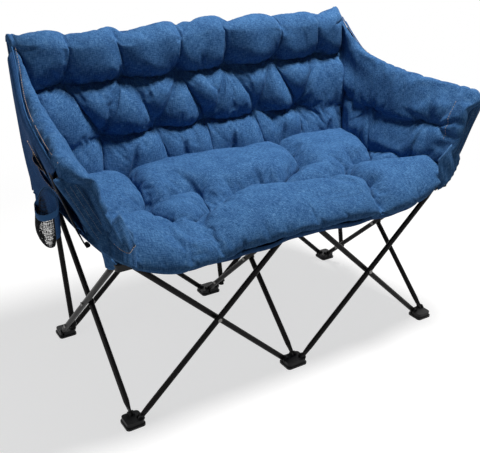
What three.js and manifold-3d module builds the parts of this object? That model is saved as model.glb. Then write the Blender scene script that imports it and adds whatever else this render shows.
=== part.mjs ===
// Folding camping loveseat: six crossed-leg frames fold sideways and front to back at once.
// Millimetres, +Z up, X across the seat, -Y to the front. The middle column of feet is at X = 0.
import * as THREE from 'three';
import { mergeVertices } from 'three/addons/utils/BufferGeometryUtils.js';
import Module from 'manifold-3d';

const wasm = await Module();
wasm.setup();

// Leg frame
const bay = 520; // from one column of feet to the next
const pinInset = 25; // a leg's pin inside its column of feet
const rise = 441; // height between the two pins of a leg
const footPinHeight = 18; // pin above the floor
const rowInset = 15; // side leg's pin inside its row of feet
const tubeDiameter = 16;
const crossingGap = 1.6; // between the two tubes of a crossing
const flatThickness = 5; // pinched tube end
const flatLength = 12; // pinched stretch beyond the pin
const tipAngleShares = [0.35, 1]; // steps of the round tip
const halfPinchShare = 0.4; // how flat the tube is midway
const pinchLength = 24; // from the pinched stretch to the round tube
const tubeSides = 12;
const slopeShare = 0.001; // of a cloth surface, across which its slope is taken

// Pins and rivets
const pinRadius = 3;
const pinClearance = 0.3; // round a pin, all ways
const pinSides = 6;
const rivetHeadRadius = 6.5;
const rivetHeadThickness = 2;
const seatGap = 0.3; // between two pieces that touch

// Moulded feet and hubs
const plateThickness = 6;
const plateCorner = 9;
const plateOuterReach = 20; // outside a corner column
const plateHalfDepth = 26;
const plateEndReach = 9; // beyond the pin
const bodyInset = 2.5; // upper body inside the plate
const bodyOverPin = 1; // upper body past the pin's axis
const earThickness = 4.5;
const earRadius = 9.5;
const earSides = 10;
const slotClearance = 0.6; // each side of a pinched end
const slotEndClearance = 1.2;
const cornerSteps = 2;

// Back posts
const postLean = 0.197; // backward travel for each millimetre of height
const postSetback = 2; // behind the row's line, at the height of the hub's pin
const postClearance = 1; // between a post and its side leg
const postTail = 13; // below the pivot
const postTopDrop = 19; // under the back's top edge
const capRadius = 8.3;
const capThickness = 5;
const capEdge = 2.5; // bevel round the cap's top
const capPlug = 8; // plug inside the tube's end
const capPlugRadius = 7;
const guideWall = 4; // ring on a back hub, round its post
const guideFreePlay = 8; // the ring is longer than the post, front to back
const guideSideGap = 1;

// Arm posts
const armPinOut = 9; // outside the column
const armPinLift = 12; // over the hub
const armTopOut = 112; // outside its own pin
const armPostDrop = 1; // its top under the arm's top edge

// Padding and cloth
const clothGap = 0.4; // between cloth and the frame that it lies on
const seatEdgeInset = 14; // from the column to the seat's edge
const seatBacking = 7; // cloth and wadding under the seat's middle surface
const seatPuff = 40; // wadding over it
const seatSag = 16;
const seatRearEdge = 222;
const seatFrontReach = 9; // front roll's middle surface ahead of the hubs
const seatRollRadius = 9;
const seatDrop = 46; // front roll below the seat's middle surface
const rollPuffShare = 0.72; // wadding over the front roll, of the seat's
const seatTuftDepth = 32;
const backBacking = 8;
const backPuff = 60;
const backTuftDepth = 46;
const backBottomLift = 18; // over the hubs' tops
const backTopHeight = 912;
const backOverhang = 26; // outside the outer columns, at the bottom
const backFlare = 14; // further outside, at the top
const tuftPitch = 175;
const upperTufts = 6; // in the back's upper row
const lowerTufts = 7;
const tuftRadius = 46;
const foldRadius = 30;
const foldDepthShare = 0.62; // of a tuft's depth
const upperTuftHeight = 770;
const lowerTuftHeight = 615;
// The seat's tufts and the folds between them, as shares of the bay and of half the depth between the rows
const seatTuftShares = [
  [-0.64, -0.06], [-0.37, -0.44], [0.07, -0.24], [0.51, -0.42], [0.75, -0.2],
];
const seatFoldShares = [
  [[-0.64, -0.06], [-0.61, 0.27], [-0.58, 0.7]],
  [[-0.64, -0.06], [-0.47, -0.01], [-0.36, 0.04], [-0.37, -0.44]],
  [[-0.37, -0.44], [-0.14, -0.19], [0, -0.16], [0.07, -0.24]],
  [[0.07, -0.24], [0.35, -0.39], [0.51, -0.42]],
  [[0.14, -0.34], [0.26, -0.07], [0.38, 0.1], [0.45, 0.48]],
  [[0.51, -0.42], [0.64, -0.19], [0.75, -0.2], [0.95, 0.3]],
  [[0.51, -0.42], [0.56, -0.8]],
];
const armBottomLift = 4; // over the hubs' tops
const armFrontHeight = 702;
const armRearOut = 38; // arm's top edge outside the column, at the back corner
const armCornerDrop = 10; // back corner under the back's top edge
const armBacking = 7;
const armPuff = 48;
const armRollHeight = 24; // padding over the arm post's top
const armTuftDepth = 30;
const armBottomIn = 8; // arm's foot inside the column
const armBackGap = 3; // arm's rear edge to the back cushion's face, at the bottom
const armCornerGap = 44; // to its edge, at the top
const panelThickness = 2.4;
const panelRearOut = 3; // side panel outside the rear cover's edge
const coverThickness = 2.4;
const sleeveWall = 1.6;
const sleeveFoot = 20; // sleeve's end over the arm post's pin
const sleeveHead = 6; // sleeve's end below the arm post's top

// Cup holders
const cupHalfWidth = 33; // across the seat
const cupHalfDepth = 58; // front to back
const cupCentreY = 112;
const cupDepth = 88;
const cupWall = 1.6;
const cupGap = 1.5; // outside the moulded hubs, which pass beside it when the frame folds
const cupFloorShare = 0.72;
const cupSides = 20;
const cupBandHeight = 14;
const cupBandWall = 2.2;

// What follows from the sizes above
const tubeRadius = tubeDiameter / 2;
const tubeShift = (tubeDiameter + crossingGap) / 2;
const span = bay - 2 * pinInset; // level distance between the two pins of a leg
const rowHalf = span / 2 + rowInset;
const hubPinHeight = footPinHeight + rise;
const hubTop = hubPinHeight + footPinHeight;
const legLength = Math.hypot(span, rise);
const armTopLift = armFrontHeight - armPostDrop - hubTop - armPinLift;
const slotWidth = flatThickness + 2 * slotClearance;
const clevisWidth = slotWidth + 2 * earThickness;
const holeRadius = (pinRadius + pinClearance) / Math.cos(Math.PI / pinSides);
const postShift = tubeRadius + tubeRadius + postClearance - tubeShift;
const sidePinY = rowHalf - rowInset;
const postYAtHub = rowHalf + postSetback;
const postPivotShare = (sidePinY - postYAtHub + postLean * rise) / (span + postLean * rise);
const postPivotHeight = footPinHeight + postPivotShare * rise;
const postTopHeight = backTopHeight - postTopDrop;
const postDirection = new THREE.Vector3(0, postLean, 1).normalize();
const postY = (height) => postYAtHub + postLean * (height - hubPinHeight);

const xAxis = new THREE.Vector3(1, 0, 0);
const yAxis = new THREE.Vector3(0, 1, 0);
const zAxis = new THREE.Vector3(0, 0, 1);

const frameMaterial = new THREE.MeshStandardMaterial({ color: 0x17161a, roughness: 0.42, metalness: 0.35 });
const mouldingMaterial = new THREE.MeshStandardMaterial({ color: 0x0d0d0f, roughness: 0.55, metalness: 0 });
const rivetMaterial = new THREE.MeshStandardMaterial({ color: 0x2b2b2e, roughness: 0.35, metalness: 0.8 });
const paddingMaterial = new THREE.MeshStandardMaterial({ color: 0x2f5a8c, roughness: 0.9, metalness: 0 });
const panelMaterial = new THREE.MeshStandardMaterial({ color: 0x163a68, roughness: 0.9, metalness: 0 });
const netMaterial = new THREE.MeshStandardMaterial({ color: 0x1a1a1c, roughness: 0.8, metalness: 0 });

const loveseat = new THREE.Group();
loveseat.name = 'folding_camping_loveseat';

function addMesh(name, geometry, material) {
  const mesh = new THREE.Mesh(geometry, material.clone());
  mesh.name = name;
  loveseat.add(mesh);
  return mesh;
}

// Signed volume of a closed triangle mesh: negative when its faces point in.
function signedVolume(geometry) {
  const position = geometry.attributes.position;
  const index = geometry.index;
  const a = new THREE.Vector3();
  const b = new THREE.Vector3();
  const c = new THREE.Vector3();
  let sum = 0;
  for (let i = 0; i < index.count; i += 3) {
    a.fromBufferAttribute(position, index.getX(i));
    b.fromBufferAttribute(position, index.getX(i + 1));
    c.fromBufferAttribute(position, index.getX(i + 2));
    sum += a.dot(b.cross(c));
  }
  return sum / 6;
}

// Turns the faces out where a mirrored outline has turned them in.
function facingOut(geometry) {
  if (signedVolume(geometry) > 0) return geometry;
  const order = Array.from(geometry.index.array);
  for (let i = 0; i < order.length; i += 3) {
    [order[i + 1], order[i + 2]] = [order[i + 2], order[i + 1]];
  }
  geometry.setIndex(order);
  return geometry;
}

function fromTriangles(points, triangles) {
  const geometry = new THREE.BufferGeometry();
  const values = points.flatMap((p) => [p.x, p.y, p.z]);
  geometry.setAttribute('position', new THREE.Float32BufferAttribute(values, 3));
  geometry.setIndex(triangles.flat());
  return facingOut(geometry);
}

function toSolid(geometry) {
  const bare = geometry.clone();
  bare.deleteAttribute('normal');
  bare.deleteAttribute('uv');
  const merged = facingOut(mergeVertices(bare));
  return new wasm.Manifold(new wasm.Mesh({
    numProp: 3,
    vertProperties: new Float32Array(merged.attributes.position.array),
    triVerts: new Uint32Array(merged.index.array),
  }));
}

function toGeometry(solid) {
  const mesh = solid.getMesh();
  const geometry = new THREE.BufferGeometry();
  geometry.setAttribute('position', new THREE.BufferAttribute(new Float32Array(mesh.vertProperties), 3));
  geometry.setIndex(new THREE.BufferAttribute(new Uint32Array(mesh.triVerts), 1));
  return geometry;
}

// Skin over a row of rings with the same number of points, closed by a fan at each end.
function loft(rings) {
  const sides = rings[0].length;
  const points = rings.flat();
  const triangles = [];
  for (let r = 0; r + 1 < rings.length; r += 1) {
    for (let i = 0; i < sides; i += 1) {
      const next = (i + 1) % sides;
      const a = r * sides + i;
      const b = r * sides + next;
      triangles.push([a, b, b + sides], [a, b + sides, a + sides]);
    }
  }
  const last = (rings.length - 1) * sides;
  for (let i = 1; i + 1 < sides; i += 1) {
    triangles.push([0, i + 1, i], [last, last + i, last + i + 1]);
  }
  return fromTriangles(points, triangles);
}

function box(x0, x1, y0, y1, z0, z1) {
  const geometry = new THREE.BoxGeometry(Math.abs(x1 - x0), Math.abs(y1 - y0), Math.abs(z1 - z0));
  return geometry.translate((x0 + x1) / 2, (y0 + y1) / 2, (z0 + z1) / 2);
}

// Round bar along an axis, centred on a point.
function bar(centre, axis, radius, length, sides) {
  const geometry = new THREE.CylinderGeometry(radius, radius, length, sides);
  geometry.rotateY(Math.PI / sides);
  geometry.applyQuaternion(new THREE.Quaternion().setFromUnitVectors(yAxis, axis));
  return geometry.translate(centre.x, centre.y, centre.z);
}

function revolve(profile, sides) {
  const outline = profile.map(([radius, along]) => new THREE.Vector2(radius, along));
  return new THREE.LatheGeometry(outline, sides);
}

// One ring of a tube: round, or pinched flat across its own Y.
function tubeRing(along, width, pinch) {
  const ring = [];
  for (let i = 0; i < tubeSides; i += 1) {
    const angle = (2 * Math.PI * i) / tubeSides;
    const round = tubeRadius * Math.cos(angle);
    const flat = Math.sign(Math.round(round)) * (flatThickness / 2);
    const across = THREE.MathUtils.lerp(round, Math.abs(round) < pinRadius ? 0 : flat, pinch);
    ring.push(new THREE.Vector3(along, across, width * Math.sin(angle)));
  }
  return ring;
}

// Rings of a pinched end, from its tip to where the tube is round. Way is 1 at the tube's start.
function pinchedEnd(pinAt, way) {
  const rings = tipAngleShares.map((share) => {
    const angle = (share * Math.PI) / 2;
    return tubeRing(pinAt - way * tubeRadius * Math.cos(angle), tubeRadius * Math.sin(angle), 1);
  });
  rings.push(tubeRing(pinAt + way * flatLength, tubeRadius, 1));
  rings.push(tubeRing(pinAt + way * (flatLength + pinchLength / 2), tubeRadius, halfPinchShare));
  rings.push(tubeRing(pinAt + way * (flatLength + pinchLength), tubeRadius, 0));
  return rings;
}

function drill(solid, places, axis) {
  let drilled = solid;
  for (const place of places) {
    const hole = bar(place, axis, holeRadius, 3 * tubeDiameter, pinSides);
    drilled = drilled.subtract(toSolid(hole));
  }
  return drilled;
}

// A leg along X with its foot pin at zero, both ends pinched, drilled for its pins and its crossing.
function legGeometry(extraShares) {
  const rings = [...pinchedEnd(0, 1), ...pinchedEnd(legLength, -1).reverse()];
  const shares = [0, 0.5, 1, ...extraShares];
  const places = shares.map((share) => new THREE.Vector3(share * legLength, 0, 0));
  return toGeometry(drill(toSolid(loft(rings)), places, yAxis));
}

// Columns run from -1 on the left to 1 on the right, rows from -1 in front to 1 at the back.
const columnNames = { '-1': 'left', 0: 'middle', 1: 'right' };
const rowNames = { '-1': 'front', 1: 'rear' };

function lateralPin(column, row, toward, shift, height) {
  return new THREE.Vector3(column * bay + toward * pinInset, row * rowHalf + shift, height);
}

function sidePin(column, row, shift, height) {
  return new THREE.Vector3(column * bay + shift, row * sidePinY, height);
}

function placeAlong(mesh, from, to, pinAxis) {
  const along = to.clone().sub(from).normalize();
  const across = along.clone().cross(pinAxis);
  mesh.quaternion.setFromRotationMatrix(new THREE.Matrix4().makeBasis(along, pinAxis, across));
  mesh.position.copy(from);
}

// Slots that each foot and hub needs, filled in as the legs are placed.
const clevises = {};

function noteClevis(kind, column, row, centre, axis, toward) {
  const key = `${kind}${column}${row}`;
  clevises[key] = clevises[key] ?? [];
  clevises[key].push({ centre, axis, toward });
}

const plainLeg = legGeometry([]);
const postLeg = legGeometry([postPivotShare]);

// A crossed pair across the seat: the first leg climbs to the right, ahead of the second.
function addLateralPair(leftColumn, row) {
  const rightColumn = leftColumn + 1;
  const sideName = leftColumn < 0 ? 'left' : 'right';
  const legs = [
    { name: '1', foot: leftColumn, hub: rightColumn, toward: 1, shift: -tubeShift },
    { name: '2', foot: rightColumn, hub: leftColumn, toward: -1, shift: tubeShift },
  ];
  for (const leg of legs) {
    const from = lateralPin(leg.foot, row, leg.toward, leg.shift, footPinHeight);
    const to = lateralPin(leg.hub, row, -leg.toward, leg.shift, hubPinHeight);
    const mesh = addMesh(`${rowNames[row]}_${sideName}_leg_${leg.name}`, plainLeg.clone(), frameMaterial);
    placeAlong(mesh, from, to, yAxis);
    noteClevis('foot', leg.foot, row, from, yAxis, leg.toward);
    noteClevis('hub', leg.hub, row, to, yAxis, -leg.toward);
  }
  const crossing = new THREE.Vector3((leftColumn + 0.5) * bay, row * rowHalf, footPinHeight + rise / 2);
  addRivet(`${rowNames[row]}_${sideName}_crossing_rivet`, crossing, yAxis, tubeShift + tubeRadius);
}

// A crossed pair front to back: leg 1 climbs to the rear, leg 2 climbs to the front.
function addSidePair(column) {
  const legs = [
    { name: '1', foot: -1, hub: 1, shift: tubeShift, geometry: plainLeg },
    { name: '2', foot: 1, hub: -1, shift: -tubeShift, geometry: postLeg },
  ];
  for (const leg of legs) {
    const from = sidePin(column, leg.foot, leg.shift, footPinHeight);
    const to = sidePin(column, leg.hub, leg.shift, hubPinHeight);
    const mesh = addMesh(`${columnNames[column]}_side_leg_${leg.name}`, leg.geometry.clone(), frameMaterial);
    placeAlong(mesh, from, to, xAxis);
    noteClevis('foot', column, leg.foot, from, xAxis, -leg.foot);
    noteClevis('hub', column, leg.hub, to, xAxis, -leg.hub);
  }
  const crossing = new THREE.Vector3(column * bay, 0, footPinHeight + rise / 2);
  addRivet(`${columnNames[column]}_side_crossing_rivet`, crossing, xAxis, tubeShift + tubeRadius);
}

// Rivet through two tubes: a shank with a head at each end, both heads outside the tubes.
function addRivet(name, centre, axis, halfGrip) {
  const inner = halfGrip + seatGap;
  const outer = inner + rivetHeadThickness;
  const profile = [
    [0, -outer], [rivetHeadRadius, -outer], [rivetHeadRadius, -inner], [pinRadius, -inner],
    [pinRadius, inner], [rivetHeadRadius, inner], [rivetHeadRadius, outer], [0, outer],
  ];
  const mesh = addMesh(name, toGeometry(toSolid(revolve(profile, pinSides))), rivetMaterial);
  mesh.quaternion.setFromUnitVectors(yAxis, axis);
  mesh.position.copy(centre);
}

// Outline of a plate with round corners, in X and Y.
function roundedOutline(x0, x1, y0, y1, corner) {
  const shape = new THREE.Shape();
  const quarter = Math.PI / 2;
  shape.absarc(x1 - corner, y1 - corner, corner, 0, quarter);
  shape.absarc(x0 + corner, y1 - corner, corner, quarter, 2 * quarter);
  shape.absarc(x0 + corner, y0 + corner, corner, 2 * quarter, 3 * quarter);
  shape.absarc(x1 - corner, y0 + corner, corner, 3 * quarter, 4 * quarter);
  return shape;
}

function slab(outline, z0, z1) {
  const geometry = new THREE.ExtrudeGeometry(outline, {
    depth: Math.abs(z1 - z0),
    bevelEnabled: false,
    curveSegments: cornerSteps,
  });
  return geometry.translate(0, 0, Math.min(z0, z1));
}

// Moulded block that holds tube ends between ears. Way is 1 for a foot and -1 for a hub.
function mouldedBlock({ column, row, way, pinHeight, ends, extra }) {
  const columnX = column * bay;
  const rowY = row * rowHalf;
  const inward = pinInset + plateEndReach;
  const reachLeft = column === -1 ? plateOuterReach : inward;
  const reachRight = column === 1 ? plateOuterReach : inward;
  const plateFar = pinHeight - way * footPinHeight;
  const plateNear = plateFar + way * plateThickness;
  const bodyFar = pinHeight + way * bodyOverPin;
  const plate = roundedOutline(
    columnX - reachLeft, columnX + reachRight, rowY - plateHalfDepth, rowY + plateHalfDepth, plateCorner,
  );
  const body = roundedOutline(
    columnX - reachLeft + bodyInset, columnX + reachRight - bodyInset,
    rowY - plateHalfDepth + bodyInset, rowY + plateHalfDepth - bodyInset, plateCorner,
  );
  let solid = toSolid(slab(plate, plateFar, plateNear));
  solid = solid.add(toSolid(slab(body, plateFar + (way * plateThickness) / 2, bodyFar)));
  for (const end of ends) {
    solid = solid.add(toSolid(bar(end.centre, end.axis, earRadius, clevisWidth, earSides)));
  }
  if (extra) solid = solid.add(extra);
  const slotFloor = -way * (tubeRadius + slotEndClearance);
  const slotMouth = way * 2 * earRadius;
  for (const end of ends) {
    const back = -end.toward * (tubeRadius + slotEndClearance);
    const mouth = end.toward * 3 * earRadius;
    const half = slotWidth / 2;
    const alongX = end.axis === yAxis;
    const cut = alongX
      ? box(back, mouth, -half, half, slotFloor, slotMouth)
      : box(-half, half, back, mouth, slotFloor, slotMouth);
    cut.translate(end.centre.x, end.centre.y, end.centre.z);
    solid = solid.subtract(toSolid(cut));
  }
  for (const end of ends) {
    const length = slotWidth + earThickness;
    solid = solid.add(toSolid(bar(end.centre, end.axis, pinRadius, length, pinSides)));
  }
  return solid;
}

// Ring behind a back hub, long enough front to back for the post's changing lean.
function postGuide(column) {
  const x = column * bay + postShift;
  const bottom = hubTop - 2 * plateThickness;
  const lean = postLean * (hubTop - bottom);
  const halfWidth = tubeRadius + guideSideGap;
  const front = postY(hubPinHeight) - tubeRadius - lean;
  const rear = postY(hubTop) + tubeRadius + guideFreePlay;
  const corner = halfWidth + guideWall - seatGap;
  const ring = roundedOutline(
    x - halfWidth - guideWall, x + halfWidth + guideWall, front - guideWall, rear + guideWall, corner,
  );
  const hole = roundedOutline(x - halfWidth, x + halfWidth, front, rear, halfWidth - seatGap);
  const well = slab(hole, hubPinHeight - 2 * footPinHeight, hubTop + footPinHeight);
  return { ring: toSolid(slab(ring, bottom, hubTop)), well: toSolid(well) };
}

// Ears on a front hub that hold the arm post's pinched end.
const armPin = (side) => new THREE.Vector3(side * (bay + armPinOut), -rowHalf, hubTop + armPinLift);

function withArmEars(solid, side) {
  const pin = armPin(side);
  const halfStem = earRadius;
  const stemFoot = -armPinLift - plateThickness / 2;
  const stem = box(-halfStem, halfStem, -clevisWidth / 2, clevisWidth / 2, stemFoot, 0);
  stem.translate(pin.x, pin.y, pin.z);
  const slot = box(
    -2 * earRadius, 2 * earRadius, -slotWidth / 2, slotWidth / 2,
    -tubeRadius - slotEndClearance, 2 * earRadius,
  );
  slot.translate(pin.x, pin.y, pin.z);
  return solid
    .add(toSolid(stem))
    .add(toSolid(bar(pin, yAxis, earRadius, clevisWidth, earSides)))
    .subtract(toSolid(slot))
    .add(toSolid(bar(pin, yAxis, pinRadius, slotWidth + earThickness, pinSides)));
}

function addMouldings() {
  for (const row of [-1, 1]) {
    for (const column of [-1, 0, 1]) {
      const place = `${rowNames[row]}_${columnNames[column]}`;
      const foot = mouldedBlock({
        column, row, way: 1, pinHeight: footPinHeight, ends: clevises[`foot${column}${row}`],
      });
      addMesh(`${place}_foot`, toGeometry(foot), mouldingMaterial);
      const guide = row === 1 ? postGuide(column) : null;
      let hub = mouldedBlock({
        column,
        row,
        way: -1,
        pinHeight: hubPinHeight,
        ends: clevises[`hub${column}${row}`],
        extra: guide?.ring,
      });
      if (guide) hub = hub.subtract(guide.well);
      if (row === -1 && column !== 0) hub = withArmEars(hub, column);
      addMesh(`${place}_hub`, toGeometry(hub), mouldingMaterial);
    }
  }
}

// Plastic cap on a tube's top: a round head and a plug, with the tube's end hollowed for it.
function capGeometry() {
  const profile = [
    [0, -capPlug], [capPlugRadius, -capPlug], [capPlugRadius, seatGap],
    [capRadius, seatGap], [capRadius, capThickness - capEdge], [capPlugRadius, capThickness],
    [0, capThickness],
  ];
  const geometry = toGeometry(toSolid(revolve(profile, tubeSides)));
  return geometry.rotateX(Math.PI / 2);
}

function hollowTop(solid, length) {
  const depth = capPlug + seatGap;
  const bore = (capPlugRadius + seatGap) / Math.cos(Math.PI / tubeSides);
  const centre = new THREE.Vector3(0, 0, length - depth / 2 + capThickness / 2);
  return solid.subtract(toSolid(bar(centre, zAxis, bore, depth + capThickness, tubeSides)));
}

function addBackPost(column) {
  const name = `${columnNames[column]}_back_post`;
  const pivot = new THREE.Vector3(column * bay + postShift, postY(postPivotHeight), postPivotHeight);
  const length = (postTopHeight - postPivotHeight) / postDirection.z;
  const upright = new THREE.Quaternion().setFromUnitVectors(zAxis, postDirection);
  const middleOfTube = new THREE.Vector3(0, 0, (length - postTail) / 2);
  const tube = bar(middleOfTube, zAxis, tubeRadius, length + postTail, tubeSides);
  const drilled = hollowTop(drill(toSolid(tube), [new THREE.Vector3()], xAxis), length);
  const post = addMesh(name, toGeometry(drilled), frameMaterial);
  post.quaternion.copy(upright);
  post.position.copy(pivot);
  const cap = addMesh(`${columnNames[column]}_back_post_cap`, capGeometry(), mouldingMaterial);
  cap.quaternion.copy(upright);
  cap.position.copy(pivot).addScaledVector(postDirection, length);
  const middle = pivot.clone();
  middle.x -= (tubeDiameter + postClearance) / 2;
  const halfGrip = tubeDiameter + postClearance / 2;
  addRivet(`${columnNames[column]}_post_rivet`, middle, xAxis, halfGrip);
}

function addArmPost(side) {
  const name = side < 0 ? 'left' : 'right';
  const pin = armPin(side);
  const direction = new THREE.Vector3(side * armTopOut, 0, armTopLift).normalize();
  const length = Math.hypot(armTopOut, armTopLift);
  const rings = pinchedEnd(0, 1);
  rings.push(tubeRing(length, tubeRadius, 0));
  const shaped = drill(toSolid(loft(rings)), [new THREE.Vector3()], yAxis);
  const turned = toSolid(toGeometry(shaped).rotateY(-Math.PI / 2));
  const post = addMesh(`${name}_arm_post`, toGeometry(hollowTop(turned, length)), frameMaterial);
  const upright = new THREE.Quaternion().setFromUnitVectors(zAxis, direction);
  post.quaternion.copy(upright);
  post.position.copy(pin);
  const cap = addMesh(`${name}_arm_post_cap`, capGeometry(), mouldingMaterial);
  cap.quaternion.copy(upright);
  cap.position.copy(pin).addScaledVector(direction, length);
  const sleeveLength = length - sleeveFoot - sleeveHead - pinchLength;
  const inner = (tubeRadius + clothGap) / Math.cos(Math.PI / tubeSides);
  const profile = [
    [inner, 0], [inner + sleeveWall, 0], [inner + sleeveWall, sleeveLength], [inner, sleeveLength],
    [inner, 0],
  ];
  const tube = toGeometry(toSolid(revolve(profile, tubeSides))).rotateX(Math.PI / 2);
  const sleeve = addMesh(`${name}_arm_sleeve`, tube, panelMaterial);
  sleeve.quaternion.copy(upright);
  sleeve.position.copy(pin).addScaledVector(direction, sleeveFoot + pinchLength);
}

// Closed pad round a middle surface: place(u, v) gives the surface, front and back its two thicknesses.
// The edge shares of both faces fall to nothing at the rim, so the two faces meet there.
function paddedPanel({ across, along, place, front, back, rimShares }) {
  const edge = (t, rim) => Math.sqrt(1 - (1 - Math.min(1, Math.min(t, 1 - t) / rim)) ** 2);
  const points = [];
  const faceIndex = [[], []];
  const normalAt = (u, v) => {
    const du = place(Math.min(1, u + slopeShare), v).sub(place(Math.max(0, u - slopeShare), v));
    const dv = place(u, Math.min(1, v + slopeShare)).sub(place(u, Math.max(0, v - slopeShare)));
    return du.cross(dv).normalize();
  };
  for (let j = 0; j <= along; j += 1) {
    for (let i = 0; i <= across; i += 1) {
      const u = i / across;
      const v = j / along;
      const onRim = i === 0 || j === 0 || i === across || j === along;
      const middle = place(u, v);
      if (onRim) {
        points.push(middle);
        faceIndex[0].push(points.length - 1);
        faceIndex[1].push(points.length - 1);
      } else {
        const fullness = edge(u, rimShares[0]) * edge(v, rimShares[1]);
        const normal = normalAt(u, v);
        points.push(middle.clone().addScaledVector(normal, front(u, v, middle) * fullness));
        faceIndex[0].push(points.length - 1);
        points.push(middle.clone().addScaledVector(normal, -back * fullness));
        faceIndex[1].push(points.length - 1);
      }
    }
  }
  const triangles = [];
  for (let j = 0; j < along; j += 1) {
    for (let i = 0; i < across; i += 1) {
      const corner = j * (across + 1) + i;
      const corners = [corner, corner + 1, corner + across + 2, corner + across + 1];
      const flip = (i < across / 2) === (j < along / 2);
      faceIndex.forEach((face, side) => {
        const [a, b, c, d] = corners.map((k) => face[k]);
        const pair = flip ? [[a, b, c], [a, c, d]] : [[a, b, d], [b, c, d]];
        const turned = pair.map(([p, q, r]) => (side ? [p, r, q] : [p, q, r]));
        triangles.push(...turned);
      });
    }
  }
  return fromTriangles(points, triangles);
}

// Thin cloth of one thickness between two edges, bent with its middle surface.
function clothPanel({ across, along, place, thickness }) {
  const points = [];
  for (const side of [1, -1]) {
    for (let j = 0; j <= along; j += 1) {
      for (let i = 0; i <= across; i += 1) {
        const u = i / across;
        const v = j / along;
        const du = place(Math.min(1, u + slopeShare), v).sub(place(Math.max(0, u - slopeShare), v));
        const dv = place(u, Math.min(1, v + slopeShare)).sub(place(u, Math.max(0, v - slopeShare)));
        const normal = du.cross(dv).normalize();
        points.push(place(u, v).addScaledVector(normal, (side * thickness) / 2));
      }
    }
  }
  const triangles = [];
  const layer = (across + 1) * (along + 1);
  const at = (i, j, side) => side * layer + j * (across + 1) + i;
  const quad = (a, b, c, d) => triangles.push([a, b, c], [a, c, d]);
  for (let j = 0; j < along; j += 1) {
    for (let i = 0; i < across; i += 1) {
      quad(at(i, j, 0), at(i + 1, j, 0), at(i + 1, j + 1, 0), at(i, j + 1, 0));
      quad(at(i, j, 1), at(i, j + 1, 1), at(i + 1, j + 1, 1), at(i + 1, j, 1));
    }
  }
  for (let i = 0; i < across; i += 1) {
    quad(at(i, 0, 0), at(i, 0, 1), at(i + 1, 0, 1), at(i + 1, 0, 0));
    quad(at(i, along, 0), at(i + 1, along, 0), at(i + 1, along, 1), at(i, along, 1));
  }
  for (let j = 0; j < along; j += 1) {
    quad(at(0, j, 0), at(0, j + 1, 0), at(0, j + 1, 1), at(0, j, 1));
    quad(at(across, j, 0), at(across, j, 1), at(across, j + 1, 1), at(across, j + 1, 0));
  }
  return fromTriangles(points, triangles);
}

// Distance from a place to a line of straight stretches.
function lineDistance(a, b, line) {
  const place = new THREE.Vector3(a, b, 0);
  const nearest = new THREE.Vector3();
  const distances = line.slice(1).map((end, i) => {
    const stretch = new THREE.Line3(new THREE.Vector3(...line[i], 0), new THREE.Vector3(...end, 0));
    return stretch.closestPointToPoint(place, true, nearest).distanceTo(place);
  });
  return Math.min(...distances);
}

// How deep tufts and folds draw the wadding in at a place of the padding: 0 on a crown, 1 on a tuft.
function drawnIn(a, b, tufts, folds) {
  const atTufts = tufts.map(([ta, tb]) => Math.exp(-((Math.hypot(a - ta, b - tb) / tuftRadius) ** 2)));
  const atFolds = folds.map((fold) => {
    const distance = lineDistance(a, b, fold);
    return foldDepthShare * Math.exp(-((distance / foldRadius) ** 2));
  });
  return Math.max(...atTufts, ...atFolds);
}

function tuftRow(count, level) {
  return Array.from({ length: count }, (_, i) => [(i - (count - 1) / 2) * tuftPitch, level]);
}

function smoothStep(from, to, value) {
  return THREE.MathUtils.smoothstep(value, from, to);
}

const seatHalfWidth = bay - seatEdgeInset;
const seatLevel = hubTop + clothGap + seatBacking;
const hubHalfWidth = pinInset + plateEndReach;
const seatFrontY = -(rowHalf + plateHalfDepth + seatFrontReach);

// The seat hangs between the hubs: level over each hub, lower between them.
function seatHeight(x, y) {
  const fromColumn = Math.abs(x - Math.round(x / bay) * bay);
  const between = smoothStep(hubHalfWidth + tubeDiameter, bay / 2, fromColumn);
  const nearRow = smoothStep(0, rowHalf - plateHalfDepth - tubeDiameter, Math.abs(y));
  return seatLevel - seatSag * (1 - (1 - between) * nearRow);
}

function seatCushion() {
  const onSeat = ([x, y]) => [x * bay, y * rowHalf];
  const tufts = seatTuftShares.map(onSeat);
  const folds = seatFoldShares.map((fold) => fold.map(onSeat));
  const levelLength = seatRearEdge - (seatFrontY + seatRollRadius);
  const rows = { level: 16, roll: 2, drop: 2 };
  const along = rows.level + rows.roll + rows.drop;
  const place = (u, v) => {
    const x = (2 * u - 1) * seatHalfWidth;
    const drop = (seatDrop - seatRollRadius) * (1 - Math.abs(2 * u - 1) ** 6);
    const row = v * along;
    const y = seatRearEdge - levelLength * Math.min(row / rows.level, 1);
    const turn = (Math.PI / 2) * THREE.MathUtils.clamp((row - rows.level) / rows.roll, 0, 1);
    const below = drop * Math.max(0, (row - rows.level - rows.roll) / rows.drop);
    const fall = seatRollRadius * (1 - Math.cos(turn)) + below;
    return new THREE.Vector3(x, y - seatRollRadius * Math.sin(turn), seatHeight(x, y) - fall);
  };
  const front = (u, v, p) => {
    const ahead = smoothStep((rows.level - rows.drop) / along, (rows.level + rows.roll) / along, v);
    const puff = seatPuff * THREE.MathUtils.lerp(1, rollPuffShare, ahead);
    return puff - seatTuftDepth * drawnIn(p.x, p.y, tufts, folds);
  };
  const geometry = paddedPanel({
    across: 34, along, place: (u, v) => place(1 - u, v), front, back: seatBacking, rimShares: [0.07, 0.1],
  });
  addMesh('seat_cushion', geometry, paddingMaterial);
}

const backBottom = hubTop + backBottomLift;
const backMiddleY = (height) => postY(height) - tubeRadius / postDirection.z - clothGap - backBacking;

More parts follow.
